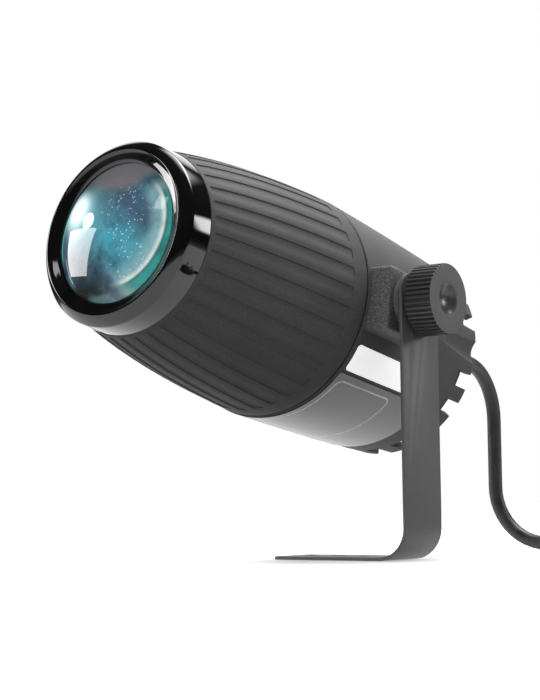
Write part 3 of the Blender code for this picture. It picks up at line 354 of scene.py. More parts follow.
def gloss_black():
    """Polished black plastic with the faint waves of its moulding."""
    look, tree = new_finish("ring_gloss_black")
    waves = noise(tree, object_place(tree), 90.0, 1.0)
    tone = spread(tree, waves, grey(0.003), (0.006, 0.0055, 0.0055))
    finish(look, Coat_Weight=0.3, Coat_Roughness=0.02)
    return finish(look, Base_Color=tone, Roughness=0.04, Normal=bump(tree, waves, 0.2, 0.00005))


def disc(tree, place, x, y, radius, edge):
    """One inside a circle on the lens, nothing outside it, with a soft edge."""
    off = calc_vector(tree, "DISTANCE", place, (x, y, 0.0))
    return fade(tree, off, radius + edge, radius - edge, smooth=True)


def lens_with_painted_light():
    """The lens: a blue-green coated dome over a dark inside, painted with the reflections, highlight and
    glints that its glass shows, and given a painted glow.
    """
    look, tree = new_finish("lens_coating_painted_light")
    place = calc_vector(tree, "MULTIPLY", object_place(tree, BARREL), (1.0, 1.0, 0.0))
    clouds = noise(tree, place, 120.0, 4.0, 0.62)
    colour = ramp(tree, clouds, (0.34, (0.035, 0.060, 0.090)), (0.50, (0.060, 0.105, 0.145)),
                  (0.68, (0.10, 0.20, 0.26)))
    cloudy = ramp(tree, clouds, (0.38, grey(0.35)), (0.58, grey(1.0)))

    # Pools of colour: the tint, then the circle's middle, radius and soft edge, then how strong it is
    pools = (
        ((0.060, 0.120, 0.190), (0.011, 0.007, 0.011, 0.007), 0.7),
        ((0.070, 0.36, 0.46), (0.001, -0.0035, 0.009, 0.008), cloudy),
        ((0.070, 0.34, 0.46), (0.011, -0.011, 0.009, 0.008), cloudy),
        ((0.110, 0.36, 0.44), (0.019, -0.013, 0.008, 0.006), 0.8),
        ((0.150, 0.150, 0.164), (0.0, 0.050, 0.0325, 0.0035), 1.0),
        ((0.017, 0.085, 0.110), (0.019, 0.018, 0.006, 0.004), 0.8),
        ((0.017, 0.018, 0.020), (-0.012, -0.033, 0.0130, 0.0060), 1.0),
        ((0.13, 0.42, 0.50), (-0.014, 0.005, 0.0110, 0.0090), 0.8),
        ((0.48, 0.80, 0.82), (-0.0205, 0.0095, 0.0085, 0.0065), 0.9),
    )
    for tint, circle, share in pools:
        colour = mix(tree, colour, tint, times(tree, disc(tree, place, *circle), share))
    # The painted highlight: a white oval near the left edge that also glows; the pale pool last in the list
    # above is its halo.
    glare = ramp(tree, clouds, (0.30, grey(0.7)), (0.60, grey(1.0)))
    painted_highlight = times(tree, disc(tree, place, -0.0215, 0.0110, 0.0060, 0.0055), glare)
    colour = mix(tree, colour, (0.90, 0.97, 0.97), painted_highlight)

    # Crescents of painted reflection from the rim inside the glass, light and dark, each beyond a circle: the
    # tint, the part of the lens, the circle's radius, edge and shift
    right = disc(tree, place, 0.024, -0.006, 0.0240, 0.0050)
    reflection_haze = times(tree, right, ramp(tree, clouds, (0.35, grey(0.55)), (0.60, grey(1.0))))
    low = disc(tree, place, -0.002, -0.030, 0.0080, 0.0040)
    left = disc(tree, place, -0.029, 0.004, 0.0130, 0.0050)
    painted_rim_reflections = (
        ((0.25, 0.46, 0.50), reflection_haze, 0.0205, 0.0035, 0.0015),
        ((0.70, 0.80, 0.76), reflection_haze, 0.0246, 0.0010, 0.0015),
        ((0.030, 0.120, 0.125), right, 0.0262, 0.0006, 0.0015),
        ((0.050, 0.330, 0.310), times(tree, right, cloudy), 0.0268, 0.0010, 0.0015),
        ((0.04, 0.22, 0.23), times(tree, low, cloudy, 0.45), 0.0275, 0.0010, 0.0),
        ((0.25, 0.80, 0.85), left, 0.0302, 0.0004, 0.0),
        ((0.012, 0.030, 0.030), 1.0, 0.0311, 0.0006, 0.0),
    )
    for tint, share, radius, edge, shift in painted_rim_reflections:
        beyond = calc(tree, "SUBTRACT", 1.0, disc(tree, place, shift, shift, radius, edge))
        colour = mix(tree, colour, tint, times(tree, beyond, share))

    # Painted glints of the optics in two sizes, each in two clusters, which glow like the painted highlight
    glow = painted_highlight
    for scale, size, part, bright in ((430.0, 0.11, 0.59, 1.0), (1000.0, 0.18, 0.49, 0.6)):
        away = add_node(tree, "TexVoronoi", {"Vector": place, "Scale": scale}).outputs["Distance"]
        dots = ramp(tree, away, (0.0, grey(1.0)), (size, grey(0.9)), (size * 1.6, grey(0.0)))
        patches = ramp(tree, noise(tree, place, 300.0, 3.0), (part, grey(0.0)), (part + 0.08, grey(1.0)))
        for x, y, radius in ((0.008, 0.007, 0.0120), (0.012, -0.013, 0.0095)):
            painted_lens_glints = times(tree, dots, patches, disc(tree, place, x, y, radius, 0.0045), bright)
            colour = mix(tree, colour, (0.80, 0.97, 1.00), painted_lens_glints)
            glow = calc(tree, "MAXIMUM", glow, painted_lens_glints)
    finish(look, Roughness=0.3, Specular_IOR_Level=0.0, Coat_Weight=1.0, Coat_Roughness=0.01)
    # The lens is given a painted glow from its own colour, strongest in the painted highlight and glints.
    return finish(look, Base_Color=colour, Emission_Color=colour,
                  Emission_Strength=fade(tree, glow, 0.0, 1.0, 0.22, 1.10))


def label_film():
    """Dark glossy film with one thin printed frame line."""
    radius, corner = 0.0532, 0.0035
    look, tree = new_finish("film_dark")
    place = object_place(tree, BARREL)
    parts = add_node(tree, "SeparateXYZ", {"Vector": place}).outputs
    turned = calc(tree, "ARCTAN2", parts["Y"], parts["X"])
    round_it = calc(tree, "MULTIPLY_ADD", turned, radius, radius * math.radians(89.5))
    along = calc(tree, "ADD", parts["Z"], 0.0095)
    spans = [calc(tree, "SUBTRACT", calc(tree, "ABSOLUTE", value), half - corner)
             for value, half in ((round_it, 0.0422), (along, 0.0215))]
    past = {axis: calc(tree, "MAXIMUM", span, 0.0) for axis, span in zip("XY", spans)}
    reach = calc_vector(tree, "LENGTH", add_node(tree, "CombineXYZ", past).outputs[0])
    within = calc(tree, "MINIMUM", calc(tree, "MAXIMUM", *spans), 0.0)
    off = calc(tree, "SUBTRACT", calc(tree, "ADD", reach, within), corner)
    line = fade(tree, calc(tree, "ABSOLUTE", off), 0.00042, 0.00026)
    finish(look, Roughness=0.45, Coat_Weight=0.55, Coat_Roughness=0.10)
    return finish(look, Base_Color=mix(tree, (0.026, 0.026, 0.027), grey(0.90), line),
                  Normal=bump(tree, noise(tree, place, 140.0), 0.3, 0.00003))


def paper_with_painted_glow():
    """White paper given a painted glow, so that it looks brighter than the lamps alone make it."""
    look = moulded("sticker_paper_painted_glow", (0.88, 0.88, 0.87), 0.38, 900.0, 0.00001)
    return finish(look, Emission_Color=WHITE, Emission_Strength=0.60)


def cord_sheath():
    """Soft black sheath with faint scuffs along its length."""
    look, tree = new_finish("cord_sheath")
    place = object_place(tree)
    scuffs = noise(tree, place, 240.0, 4.0, 0.6)
    tone = ramp(tree, scuffs, (0.35, (0.018, 0.018, 0.019)), (0.75, (0.036, 0.036, 0.037)))
    rough = ramp(tree, scuffs, (0.3, grey(0.36)), (0.75, grey(0.55)))
    return finish(look, Base_Color=tone, Roughness=rough,
                  Normal=bump(tree, noise(tree, place, 1500.0), 0.5, 0.00002))


# Making by hand


def bare():
    if bpy.context.mode != "OBJECT":
        bpy.ops.object.mode_set(mode="OBJECT")
    bpy.ops.object.select_all(action="DESELECT")


def take(piece):
    bare()
    piece.select_set(True)
    bpy.context.view_layer.objects.active = piece
    return piece


def named(name):
    piece = bpy.context.active_object
    piece.name = name
    piece.data.name = name
    return piece


def freeze():
    bpy.ops.object.transform_apply(location=True, rotation=True, scale=True)


def edit(piece):
    take(piece)
    bpy.ops.object.mode_set(mode="EDIT")
    bpy.ops.mesh.select_mode(type="VERT")


def edit_all(piece):
    edit(piece)
    bpy.ops.mesh.select_all(action="SELECT")


def pick(piece, part, test):
    """Selects the faces, edges or points that pass the test, in edit mode."""
    bpy.ops.mesh.select_mode(type={"faces": "FACE", "edges": "EDGE", "verts": "VERT"}[part])
    bpy.ops.mesh.select_all(action="DESELECT")
    bm = bmesh.from_edit_mesh(piece.data)
    for item in getattr(bm, part):
        if test(item):
            item.select_set(True)
    bm.select_flush_mode()
    bmesh.update_edit_mesh(piece.data)


def pull(x, y, z):
    """Extrudes what is picked."""
    bpy.ops.mesh.extrude_region_move(TRANSFORM_OT_translate={"value": (x, y, z)})


def narrow(by, station):
    """Resizes what is picked towards the Z axis."""
    bpy.ops.transform.resize(value=(by, by, 1.0), center_override=(0.0, 0.0, station))


def pull_rings(points):
    """Pulls the picked ring along (radius, station) points. A radius of nothing is a pole."""
    for (r0, a0), (r1, a1) in zip(points, points[1:]):
        pull(0.0, 0.0, a1 - a0)
        if r1 == 0.0:
            bpy.ops.mesh.merge(type="CENTER")
        elif r1 != r0:
            narrow(r1 / r0, a1)


def face_outwards():
    bpy.ops.mesh.select_all(action="SELECT")
    bpy.ops.mesh.normals_make_consistent(inside=False)
    bare()


def flip(piece):
    edit_all(piece)
    bpy.ops.mesh.flip_normals()
    bare()


def ring(name, sides, start, fill="NOTHING"):
    """A circle at a (radius, station) point, all picked in edit mode."""
    radius, station = start
    bare()
    bpy.ops.mesh.primitive_circle_add(
        vertices=sides, radius=radius, fill_type=fill, location=(0.0, 0.0, station))
    piece = named(name)
    edit_all(piece)
    return piece


def turn(name, outline, sides):
    """Pulls a ring along an outline of (radius, station) points. A start on the axis is a flat cap, an end
    on the axis is a pole, and an outline clear of the axis is joined end to start."""
    capped = outline[0][0] == 0.0
    points = outline[1:] if capped else outline
    piece = ring(name, sides, points[0], "NGON" if capped else "NOTHING")
    pull_rings(points)
    if not capped and points[-1][0] > 0.0:
        bpy.ops.mesh.select_all(action="DESELECT")
        bpy.ops.mesh.select_mode(type="EDGE")
        bpy.ops.mesh.select_non_manifold()
        bpy.ops.mesh.bridge_edge_loops()
    face_outwards()
    take(piece)
    freeze()
    return piece


def block(name, low, high, soften=0.0, steps=1):
    low, high = Vector(low), Vector(high)
    bare()
    bpy.ops.mesh.primitive_cube_add(size=1.0, location=(low + high) / 2, scale=high - low)
    piece = named(name)
    freeze()
    if soften:
        edit_all(piece)
        bpy.ops.mesh.bevel(offset=soften, segments=steps, affect="EDGES")
        bare()
    return piece


def cylinder(name, place, radius, depth, sides):
    """A cylinder along the place's own Z, centred on it."""
    bare()
    bpy.ops.mesh.primitive_cylinder_add(vertices=sides, radius=radius, depth=depth)
    piece = named(name)
    piece.matrix_world = place
    freeze()
    return piece


def change(piece, kind, **settings):
    """Adds a modifier to a piece and applies it."""
    take(piece)
    step = piece.modifiers.new(kind.lower(), kind)
    for key, value in settings.items():
        setattr(step, key, value)
    bpy.ops.object.modifier_apply(modifier=step.name)


def soften_edges(piece, width, angle):
    change(piece, "BEVEL", width=width, segments=2, limit_method="ANGLE", angle_limit=math.radians(angle))


def cut_away(piece, *tools, way="DIFFERENCE"):
    """Takes each tool's shape out of the piece, or keeps what both share, and removes the tool."""
    for tool in tools:
        change(piece, "BOOLEAN", operation=way, solver="EXACT", object=tool)
        bpy.data.objects.remove(tool, do_unlink=True)


def about_z(degrees):
    return Matrix.Rotation(math.radians(degrees), 4, "Z")


def offset(x, y, z):
    return Matrix.Translation((x, y, z))


def place_piece(piece, matrix):
    take(piece)
    piece.matrix_world = matrix @ piece.matrix_world
    freeze()


def settle(piece, look, body, slot, *nodes, matrix=None, smooth=38.0):
    """Puts a finished piece in place, gives it its finish and lets it ride."""
    if matrix is not None:
        place_piece(piece, matrix)
    take(piece)
    bpy.ops.object.shade_smooth_by_angle(angle=math.radians(smooth))
    piece.data.materials.clear()
    piece.data.materials.append(look)
    bare()
    if body:
        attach(piece, body)
    if nodes:
        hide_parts(*nodes)
    return piece


def copy_of(piece, name):
    made = piece.copy()
    made.data = piece.data.copy()
    made.name = name
    made.data.name = name
    bpy.context.scene.collection.objects.link(made)
    return made


# Cord, from the strain relief to the plug


def bezier(points, count):
    a, b, c, d = (Vector(p) for p in points)
    found = []
    for step in range(count + 1):
        t = step / count
        s = 1 - t
        found.append(a * s**3 + 3 * b * s * s * t + 3 * c * s * t * t + d * t**3)
    return found


def coil_point(turns):
    """A point of the piled coil: in along the floor, up at the inside, and out on top."""
    outer = COIL_MID + COIL_PITCH * COIL_LAYER_TURNS / 2
    inner = outer - COIL_PITCH * COIL_LAYER_TURNS
    throat = inner - THROAT_IN
    up = COIL_LAYER_TURNS + COIL_RAMP
    if turns <= COIL_LAYER_TURNS:
        radius, lift = outer - COIL_PITCH * turns, 0.0
    elif turns <= up:
        part = (turns - COIL_LAYER_TURNS) / COIL_RAMP
        radius, lift = inner + (throat - inner) * part, part * part * (3 - 2 * part)
    else:
        radius, lift = throat + (outer - throat) * (turns - up) / (COIL_TURNS - up), 1.0
    angle = math.pi / 2 - 2 * math.pi * turns
    height = COIL_Z + COIL_PITCH * lift
    return Vector((COIL_X + radius * math.cos(angle), COIL_Y + radius * math.sin(angle), height))


def cord_route():
    """Out of the strain relief, down under its own weight, along the floor, round the coil, to the plug."""
    begin = BARREL @ EXIT
    way = (BARREL.to_3x3() @ Vector((0.0, 0.0, -1.0))).normalized()
    bend_from = begin + way * 2 * CORD_R
    dip = math.atan2(-way.z, way.y)
    centre = bend_from + Vector((0.0, -math.sin(dip), -math.cos(dip))) * BEND
    route = [begin]
    for step in range(13):
        angle = dip + (math.pi / 2 - dip) * step / 12
        route.append(centre + Vector((0.0, math.sin(angle), math.cos(angle))) * BEND)
    low = CORD_R + BEND
    bottom = Vector((route[-1].x, route[-1].y, low))
    top = route[-1]
    route += [top.lerp(bottom, part / 4) for part in (1, 2, 3)]
    centre = bottom + Vector((BEND, 0.0, 0.0))
    for step in range(13):
        angle = math.pi / 2 * step / 12
        route.append(centre - Vector((math.cos(angle), 0.0, math.sin(angle))) * BEND)
    first = route.pop()
    straight = Vector((2 * CORD_R, 0.0, 0.0))
    ease = Vector((0.025, 0.0, 0.0))
    meet = coil_point(0.0) - straight
    route += bezier((first, first + ease, meet - straight - ease, meet - straight), 12)
    route.append(meet)
    count = round(COIL_TURNS * 48)
    route += [coil_point(COIL_TURNS * step / count) for step in range(count + 1)]
    last = route[-1]
    entry = Vector((last.x, last.y - TAIL, PLUG_ENTRY_Z))
    ease = Vector((0.0, 0.010, 0.0))
    route += bezier((last, last - 2 * ease, entry + 2 * ease, entry + ease), 8)[1:]
    route.append(entry)
    return route


def tube(name, route, radius, sides=16):
    """A round tube along a route, as a mesh with closed ends."""
    data = bpy.data.curves.new(name, "CURVE")
    data.dimensions = "3D"
    data.bevel_depth = radius
    data.bevel_resolution = (sides - 4) // 2
    data.use_fill_caps = True
    line = data.splines.new("POLY")
    line.points.add(len(route) - 1)
    for point, where in zip(line.points, route):
        point.co = (*where, 1.0)
    piece = bpy.data.objects.new(name, data)
    bpy.context.scene.collection.objects.link(piece)
    take(piece)
    bpy.ops.object.convert(target="MESH")
    piece = named(name)
    edit_all(piece)
    bpy.ops.mesh.remove_doubles(threshold=0.00001)
    face_outwards()
    return piece


def make_cord(finishes):
    route = cord_route()
    cord = tube("mains_cord", route, CORD_R)
    settle(cord, finishes["sheath"], None, "cord_black", smooth=60.0)
    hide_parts("cord_lead", "cord_coil")
    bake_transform(cord)
    shell = make_plug(finishes, route[-1])
    tie = make_tie(finishes)


def make_plug(finishes, entry):
    x = entry.x
    y = entry.y - GAP - PLUG_COLLAR - PLUG_R + PLUG_SINK
    outline = [(0.0, 0.0), (0.0165, 0.0), (0.0178, 0.0004), (0.0184, 0.0014), (PLUG_R, 0.003),
               (PLUG_R, 0.0135), (0.0183, 0.0152), (0.0176, 0.0164), (0.0165, PLUG_H), (0.0120, PLUG_H),
               (0.0115, 0.0166), (0.0, 0.0166)]
    shell = turn("plug_shell", outline, 64)
    place_piece(shell, offset(x, y, 0.0))
    for side in (-PLUG_PIN_X, PLUG_PIN_X):
        pin_hole = cylinder("pin_hole", offset(x + side, y, 0.0145), 0.0027, 0.009, 24)
        low = (x - 0.0025, y + side * 2 - 0.0015, 0.0045)
        high = (x + 0.0025, y + side * 2 + 0.0015, PLUG_H + 0.002)
        cut_away(shell, pin_hole, block("earth_slot", low, high))
    settle(shell, finishes["plug"], "bracket", "black_plastic", "plug_body")
    collar_from = y + PLUG_R - 2 * PLUG_SINK
    length = entry.y - GAP - collar_from
    rings = [(0.0, 0.0), (PLUG_COLLAR_R, 0.0)]
    for index in range(5):
        start = 0.006 + index * 0.0042
        radius = PLUG_COLLAR_R - 0.0024 * start / length
        groove = radius - 0.0006
        rings += [(radius, start), (groove, start + 0.0003), (groove, start + 0.0015),
                  (radius, start + 0.0018)]
    rings += [(0.0047, length - 0.0006), (0.0044, length), (0.0, length)]
    lay = offset(x, collar_from, PLUG_ENTRY_Z) @ Matrix.Rotation(-math.pi / 2, 4, "X")
    collar = turn("plug_collar", rings, 32)
    settle(collar, finishes["plug"], "bracket", "black_plastic", matrix=lay)
    return [shell, collar]


def make_tie(finishes):
    turned = offset(COIL_X, COIL_Y, 0.0) @ about_z(TIE_TURN)
    top = COIL_Z + COIL_PITCH + CORD_R + TIE_ROOM + TIE_T
    band = block("tie_band", (0.0285, -0.005, 0.0001), (0.0476, 0.005, top), 0.0002)
    cut_away(band, block("tie_opening", (0.0293, -0.006, 0.0009), (0.0468, 0.006, top - TIE_T)))
    return settle(band, finishes["plastic"], "bracket", "black_plastic", "cord_tie", matrix=turned)


# Bracket


def make_bracket(finishes):
    bare()
    bend_x = ARM_X - BEND_R
    length = bend_x - BASE_END
    bpy.ops.mesh.primitive_plane_add(size=1.0, location=(BASE_END + length / 2, 0.0, 0.0))
    strip = named("bracket_strip")
    strip.scale = (length, BRACKET_W, 1.0)
    freeze()
    edit(strip)
    pick(strip, "edges", lambda edge: all(vert.co.x > bend_x - TINY for vert in edge.verts))
    for step in range(BEND_STEPS):
        old, new = (math.pi / 2 * part / BEND_STEPS for part in (step, step + 1))
        pull(BEND_R * (math.sin(new) - math.sin(old)), 0.0, BEND_R * (math.cos(old) - math.cos(new)))
    pull(0.0, 0.0, ARM_TOP - BEND_R)
    pick(strip, "verts", lambda vert: vert.co.z > ARM_TOP - TINY)
    bpy.ops.mesh.bevel(offset=ARM_CORNER, segments=10, affect="VERTICES")
    pick(strip, "verts", lambda vert: vert.co.x < BASE_END + TINY)
    bpy.ops.mesh.bevel(offset=BASE_CORNER, segments=6, affect="VERTICES")
    face_outwards()
    if min(strip.data.polygons, key=lambda face: face.center.z).normal.z > 0:
        flip(strip)
    change(strip, "SOLIDIFY", thickness=SHEET, offset=-1.0, use_even_offset=True)
    for x, radius in BASE_HOLES:
        cut_away(strip, cylinder("base_hole", offset(x, 0.0, 0.0), radius, 0.01, 40))
    cut_away(strip, cylinder("arm_hole", offset(ARM_X, 0.0, PIVOT.z) @ ALONG_X, STUD_HOLE_R, 0.01, 40))
    soften_edges(strip, SOFT_EDGE, 50.0)
    settle(strip, finishes["bracket"], "bracket", "bracket_coat", "mounting_bracket")


# Barrel


def front_radius(a):
    s = (a - SEAM_A) / (RING_A - SEAM_A)
    first, second, third = FRONT_TAPER
    return SEAM_R - first * s - second * s**2 - third * s**3


def rear_radius(a):
    s = (SEAM_A - a) / (SEAM_A - REAR_A)
    first, second = REAR_TAPER
    return SEAM_R - first * s - second * s**2


def sector(spot, count):
    """How far a spot lies from the nearest of a count of even sectors, and which one that is."""
    turned = math.atan2(spot.y, spot.x) * count / (2 * math.pi)
    return abs(turned - round(turned)), round(turned)


def make_front_barrel(finishes):
    end = RING_A - GAP
    steps = [CHANNEL_START + (CHANNEL_END - CHANNEL_START) * i / 12 for i in range(13)]
    outer = [(front_radius(a), a) for a in (end, *steps, 0.0225, 0.0184)]
    lip = [(SEAM_R - 0.00035, 0.0176), (SEAM_R - 0.0011, 0.0169), (SEAM_R - 0.0021, 0.0167)]
    inner = [(0.0510, 0.0167), (0.0510, 0.0076), (0.0486, 0.0076), (0.0486, 0.022), (0.0462, 0.070),
             (front_radius(0.104) - WALL, 0.104), (0.0350, 0.110), (0.0350, 0.1225)]
    barrel = turn("front_barrel", [(0.0376, 0.1225), (0.0376, end), *outer, *lip, *inner], 4 * CHANNELS)

    def in_channel(face):
        middle = face.calc_center_median()
        if not CHANNEL_END < middle.z < CHANNEL_START:
            return False
        outside = math.hypot(middle.x, middle.y) >= front_radius(middle.z) - 0.001
        return outside and sector(middle, CHANNELS)[0] < 0.25

    edit(barrel)
    pick(barrel, "faces", in_channel)
    bpy.ops.mesh.extrude_region_shrink_fatten(TRANSFORM_OT_shrink_fatten={"value": -CHANNEL_DEPTH})
    bare()
    soften_edges(barrel, SOFT_EDGE, 40.0)
    place_piece(barrel, about_z(CHANNEL_PHASE))
    settle(barrel, finishes["front"], "head", "front_coat", "front_housing", matrix=BARREL)


def make_rear_barrel(finishes):
    front = SEAM_A - 0.00025
    outer = [(SEAM_R - 0.0006, front), (SEAM_R - 0.0002, front - 0.0004)]
    outer += [(rear_radius(a), a) for a in (0.0150, *REAR_STATIONS, -0.063, NOTCH_A)]
    inner = [(0.0471, NOTCH_A), (0.0471, -0.060), (0.0492, 0.003), (0.0513, 0.003), (0.0513, front)]
    barrel = turn("rear_barrel", [*outer, *inner], 8 * TEETH)

    def in_tooth(face):
        middle = face.calc_center_median()
        if abs(middle.z - NOTCH_A) > 1e-5 or face.normal.z > -0.9:
            return False
        off, nearest = sector(middle, TEETH)
        return off > 0.25 or nearest % TEETH in POCKETS

    edit(barrel)
    pick(barrel, "faces", in_tooth)
    pull(0.0, 0.0, REAR_A - NOTCH_A)
    narrow(rear_radius(REAR_A) / rear_radius(NOTCH_A), REAR_A)
    bare()
    place_piece(barrel, about_z(NOTCH_PHASE))
    soften_edges(barrel, 0.0004, 50.0)
    length = POCKET_A - REAR_A + 0.010
    lean = Matrix.Rotation(math.radians(POCKET_LEAN), 4, "Y")
    lean = offset(rear_radius(POCKET_A) + POCKET_R, 0.0, POCKET_A) @ lean
    for index in POCKETS:
        place = about_z(NOTCH_PHASE + 360.0 * index / TEETH) @ lean @ offset(0.0, 0.0, -length / 2)
        cut_away(barrel, cylinder("pocket", place, POCKET_R, length, 96))
    settle(barrel, finishes["rear"], "head", "rear_coat", "rear_housing", matrix=BARREL, smooth=16.0)
    boss = block("pivot_boss", (0.0500, -0.0155, -0.0150), (0.0640, 0.0136, 0.0150), 0.0016, 4)
    settle(boss, finishes["boss"], "head", "rear_coat", matrix=BARREL)
    outline = [(0.0, 0.0630), (0.0120, 0.0630), (0.0120, 0.0658), (0.0115, 0.0663), (0.0062, 0.0663),
               (0.0058, 0.0659), (0.0058, 0.0640), (0.0, 0.0640)]
    collar = turn("boss_collar", outline, 64)
    settle(collar, finishes["boss"], "head", "rear_coat", matrix=BARREL @ ALONG_X)


def make_lens_ring(finishes):
    outline = [(0.0410, RING_A), (0.04095, 0.1180), (0.0408, 0.1215), (0.0406, 0.1248), (0.0405, 0.1259),
               (0.0403, 0.1262), (0.0393, 0.12745), (0.0383, 0.12845), (0.0373, 0.1292), (0.0366, 0.12965),
               (0.0361, 0.1298), (0.0357, 0.12965), (0.0354, 0.12935), (0.0340, 0.12872), (0.0325, 0.12807),
               (0.0311, 0.1275), (0.0308, 0.1272), (0.0308, 0.1268), (0.0335, 0.1255), (0.0335, 0.1168),
               (0.0347, 0.1168), (0.0347, 0.1228), (0.0379, 0.1228), (0.0379, RING_A)]
    gloss_ring = turn("gloss_ring", outline, 144)
    settle(gloss_ring, finishes["gloss"], "lens_ring", "ring_black", "lens_ring", matrix=BARREL)


def dome(edge_r, ball, middle, steps, side=1.0):
    """Points of a ball's cap between its edge and its pole, on the far or, with -1, the near side."""
    radii = [edge_r * (1 - step / steps) for step in range(1, steps)]
    return [(radius, middle + side * math.sqrt(ball**2 - radius**2)) for radius in radii]


def make_lens(finishes):
    middle = LENS_EDGE_A - math.sqrt(LENS_DOME**2 - LENS_R**2)
    outline = [(0.0, LENS_BACK_A), (LENS_R, LENS_BACK_A), (LENS_R, LENS_EDGE_A)]
    outline += [*dome(LENS_R, LENS_DOME, middle, 16), (0.0, middle + LENS_DOME)]
    lens = turn("domed_lens", outline, 96)
    settle(lens, finishes["lens"], "lens_ring", "lens_glass", "front_lens", matrix=BARREL)


def make_film(name, look, slot, cad_node, start, sweep, front, back, corner=0.0):
    """A thin label that follows the rear barrel's surface."""
    stations = [front, *(a for a in REAR_STATIONS if back < a < front), back]
    points = [(rear_radius(a) + LABEL_LIFT, a) for a in stations]
    film = ring(name, 180, points[0])
    pull_rings(points)
    take(film)
    freeze()

    def beside(face):
        middle = face.calc_center_median()
        return not start < math.degrees(math.atan2(middle.y, middle.x)) < start + sweep

    edit(film)
    pick(film, "faces", beside)
    bpy.ops.mesh.delete(type="FACE")
    face_outwards()
    face = film.data.polygons[0]
    if face.normal.dot(Vector((face.center.x, face.center.y, 0.0))) < 0:
        flip(film)
    change(film, "SOLIDIFY", thickness=LABEL_T, offset=1.0)
    if corner:
        half_width = math.radians(sweep - 1.0) * SEAM_R / 2
        round_corners(film, start + sweep / 2, half_width, front, back, corner)
    settle(film, look, "head", slot, cad_node, matrix=BARREL)


def round_corners(label, middle, half_width, front, back, radius):
    """Trims a narrow label to a rounded rectangle, seen square on."""
    bare()
    bpy.ops.mesh.primitive_cube_add(size=1.0, location=(SEAM_R, 0.0, (front + back) / 2),
                                    scale=(0.02, 2 * half_width, front - back - 0.0002))
    trim = named("label_trim")
    freeze()
    edit(trim)
    pick(trim, "edges", lambda edge: abs(edge.verts[0].co.x - edge.verts[1].co.x) > 0.01)
    bpy.ops.mesh.bevel(offset=radius, segments=8, affect="EDGES")
    bare()
    place_piece(trim, about_z(middle))
    cut_away(label, trim, way="INTERSECT")


# Pivot and knob


def make_pivot(finishes):
    axis = BARREL @ ALONG_X
    pad = [(0.0112, 0.0668), (0.0112, 0.0682), (0.0109, 0.06845), (0.0048, 0.06845), (0.0048, 0.0666),
           (0.0109, 0.0666)]
    pad = turn("pivot_pad", pad, 80)
    settle(pad, finishes["rubber"], "head", "black_rubber", "tilt_washer", matrix=axis)
    plate = [(0.0090, 0.0707), (0.0090, 0.0713), (0.0089, 0.0714), (0.0044, 0.0714), (0.0044, 0.0706),
             (0.0089, 0.0706)]
    plate = turn("knob_plate", plate, 64)
    settle(plate, finishes["steel"], "knob_carrier", "bare_steel", "knob_washer", matrix=axis)


def make_knob(finishes):
    back, front = KNOB_BACK, KNOB_FRONT
    outline = [(0.0, back), (0.0147, back), (0.0158, back + 0.0005), (0.0160, back + 0.0009),
               (0.0160, front - 0.0009), (0.0159, front - 0.0003), (0.0156, front)]
    dish = [(0.0078, front), (0.0075, front - 0.00002), (BOWL_R, front - 0.00012)]
    floor = front - BOWL_DEPTH
    ball = (BOWL_R**2 + BOWL_DEPTH**2) / (2 * BOWL_DEPTH)
    dish += dome(BOWL_R, ball, floor + ball, 14, -1.0)
    knob = turn("ribbed_knob", [*outline, *dish, (0.0, floor)], 6 * KNOB_RIBS)

    def in_flute(vert):
        if math.hypot(vert.co.x, vert.co.y) < 0.0157 or vert.co.z < back + 0.0003:
            return False
        return sector(vert.co, KNOB_RIBS)[0] < 0.24

    edit(knob)
    pick(knob, "verts", in_flute)
    narrow(0.90, 0.0785)
    bare()
    axis = BARREL @ ALONG_X
    settle(knob, finishes["knob"], "knob", "knob_plastic", "tilt_knob", matrix=axis, smooth=32.0)


# Rear end


def make_strain_relief(finishes):
    seat, end = -0.0810, -0.1097
    outline = [(0.0, -0.0745), (0.0057, -0.0745), (0.0057, seat), (0.0078, seat), (0.0080, seat - 0.0004),
               (0.0080, seat - 0.0026), (0.0077, seat - 0.0030), (0.0063, seat - 0.0033)]
    for index in range(7):
        start = seat - 0.0045 - index * 0.0033
        radius = 0.0063 - 0.0015 * (seat - 0.0033 - start) / (seat - 0.0033 - end)
        groove = radius - 0.0009
        outline += [(radius, start), (groove, start - 0.0002), (groove, start - 0.0012),
                    (radius, start - 0.0014)]
    outline += [(0.0049, end + 0.0006), (0.0045, end), (0.0, end)]
    place = BARREL @ offset(EXIT.x, EXIT.y, 0.0)
    relief = turn("cord_relief", outline, 40)
    settle(relief, finishes["rubber"], "head", "black_rubber", "strain_relief", matrix=place)


def make_cover_screws(finishes):
    shank = 0.0215
    outline = [(0.0, 0.0), (0.0014, 0.0), (0.0014, shank), (0.0029, shank), (0.0030, 0.0221),
               (0.0029, 0.0226), (0.0025, 0.0231), (0.0016, 0.02345), (0.0, 0.0235)]
    screw = turn("cover_screw", outline, 32)
    for way in (0.0, 90.0):
        slot = block("screw_slot", (-0.0016, -0.00028, 0.0222), (0.0016, 0.00028, 0.0250))
        place_piece(slot, about_z(way))
        cut_away(screw, slot)
    flip_over = Matrix.Rotation(math.pi, 4, "X")
    pieces = [screw, copy_of(screw, "cover_screw_b"), copy_of(screw, "cover_screw_c")]
    for index, (piece, angle) in enumerate(zip(pieces, POST_ANGLES), 1):
        x = POST_CIRCLE * math.cos(math.radians(angle))
        y = POST_CIRCLE * math.sin(math.radians(angle))
        place = BARREL @ offset(x, y, COVER_A - GAP + shank) @ flip_over
        settle(piece, finishes["steel"], "head", "bare_steel", f"cover_screw_{index}", matrix=place)


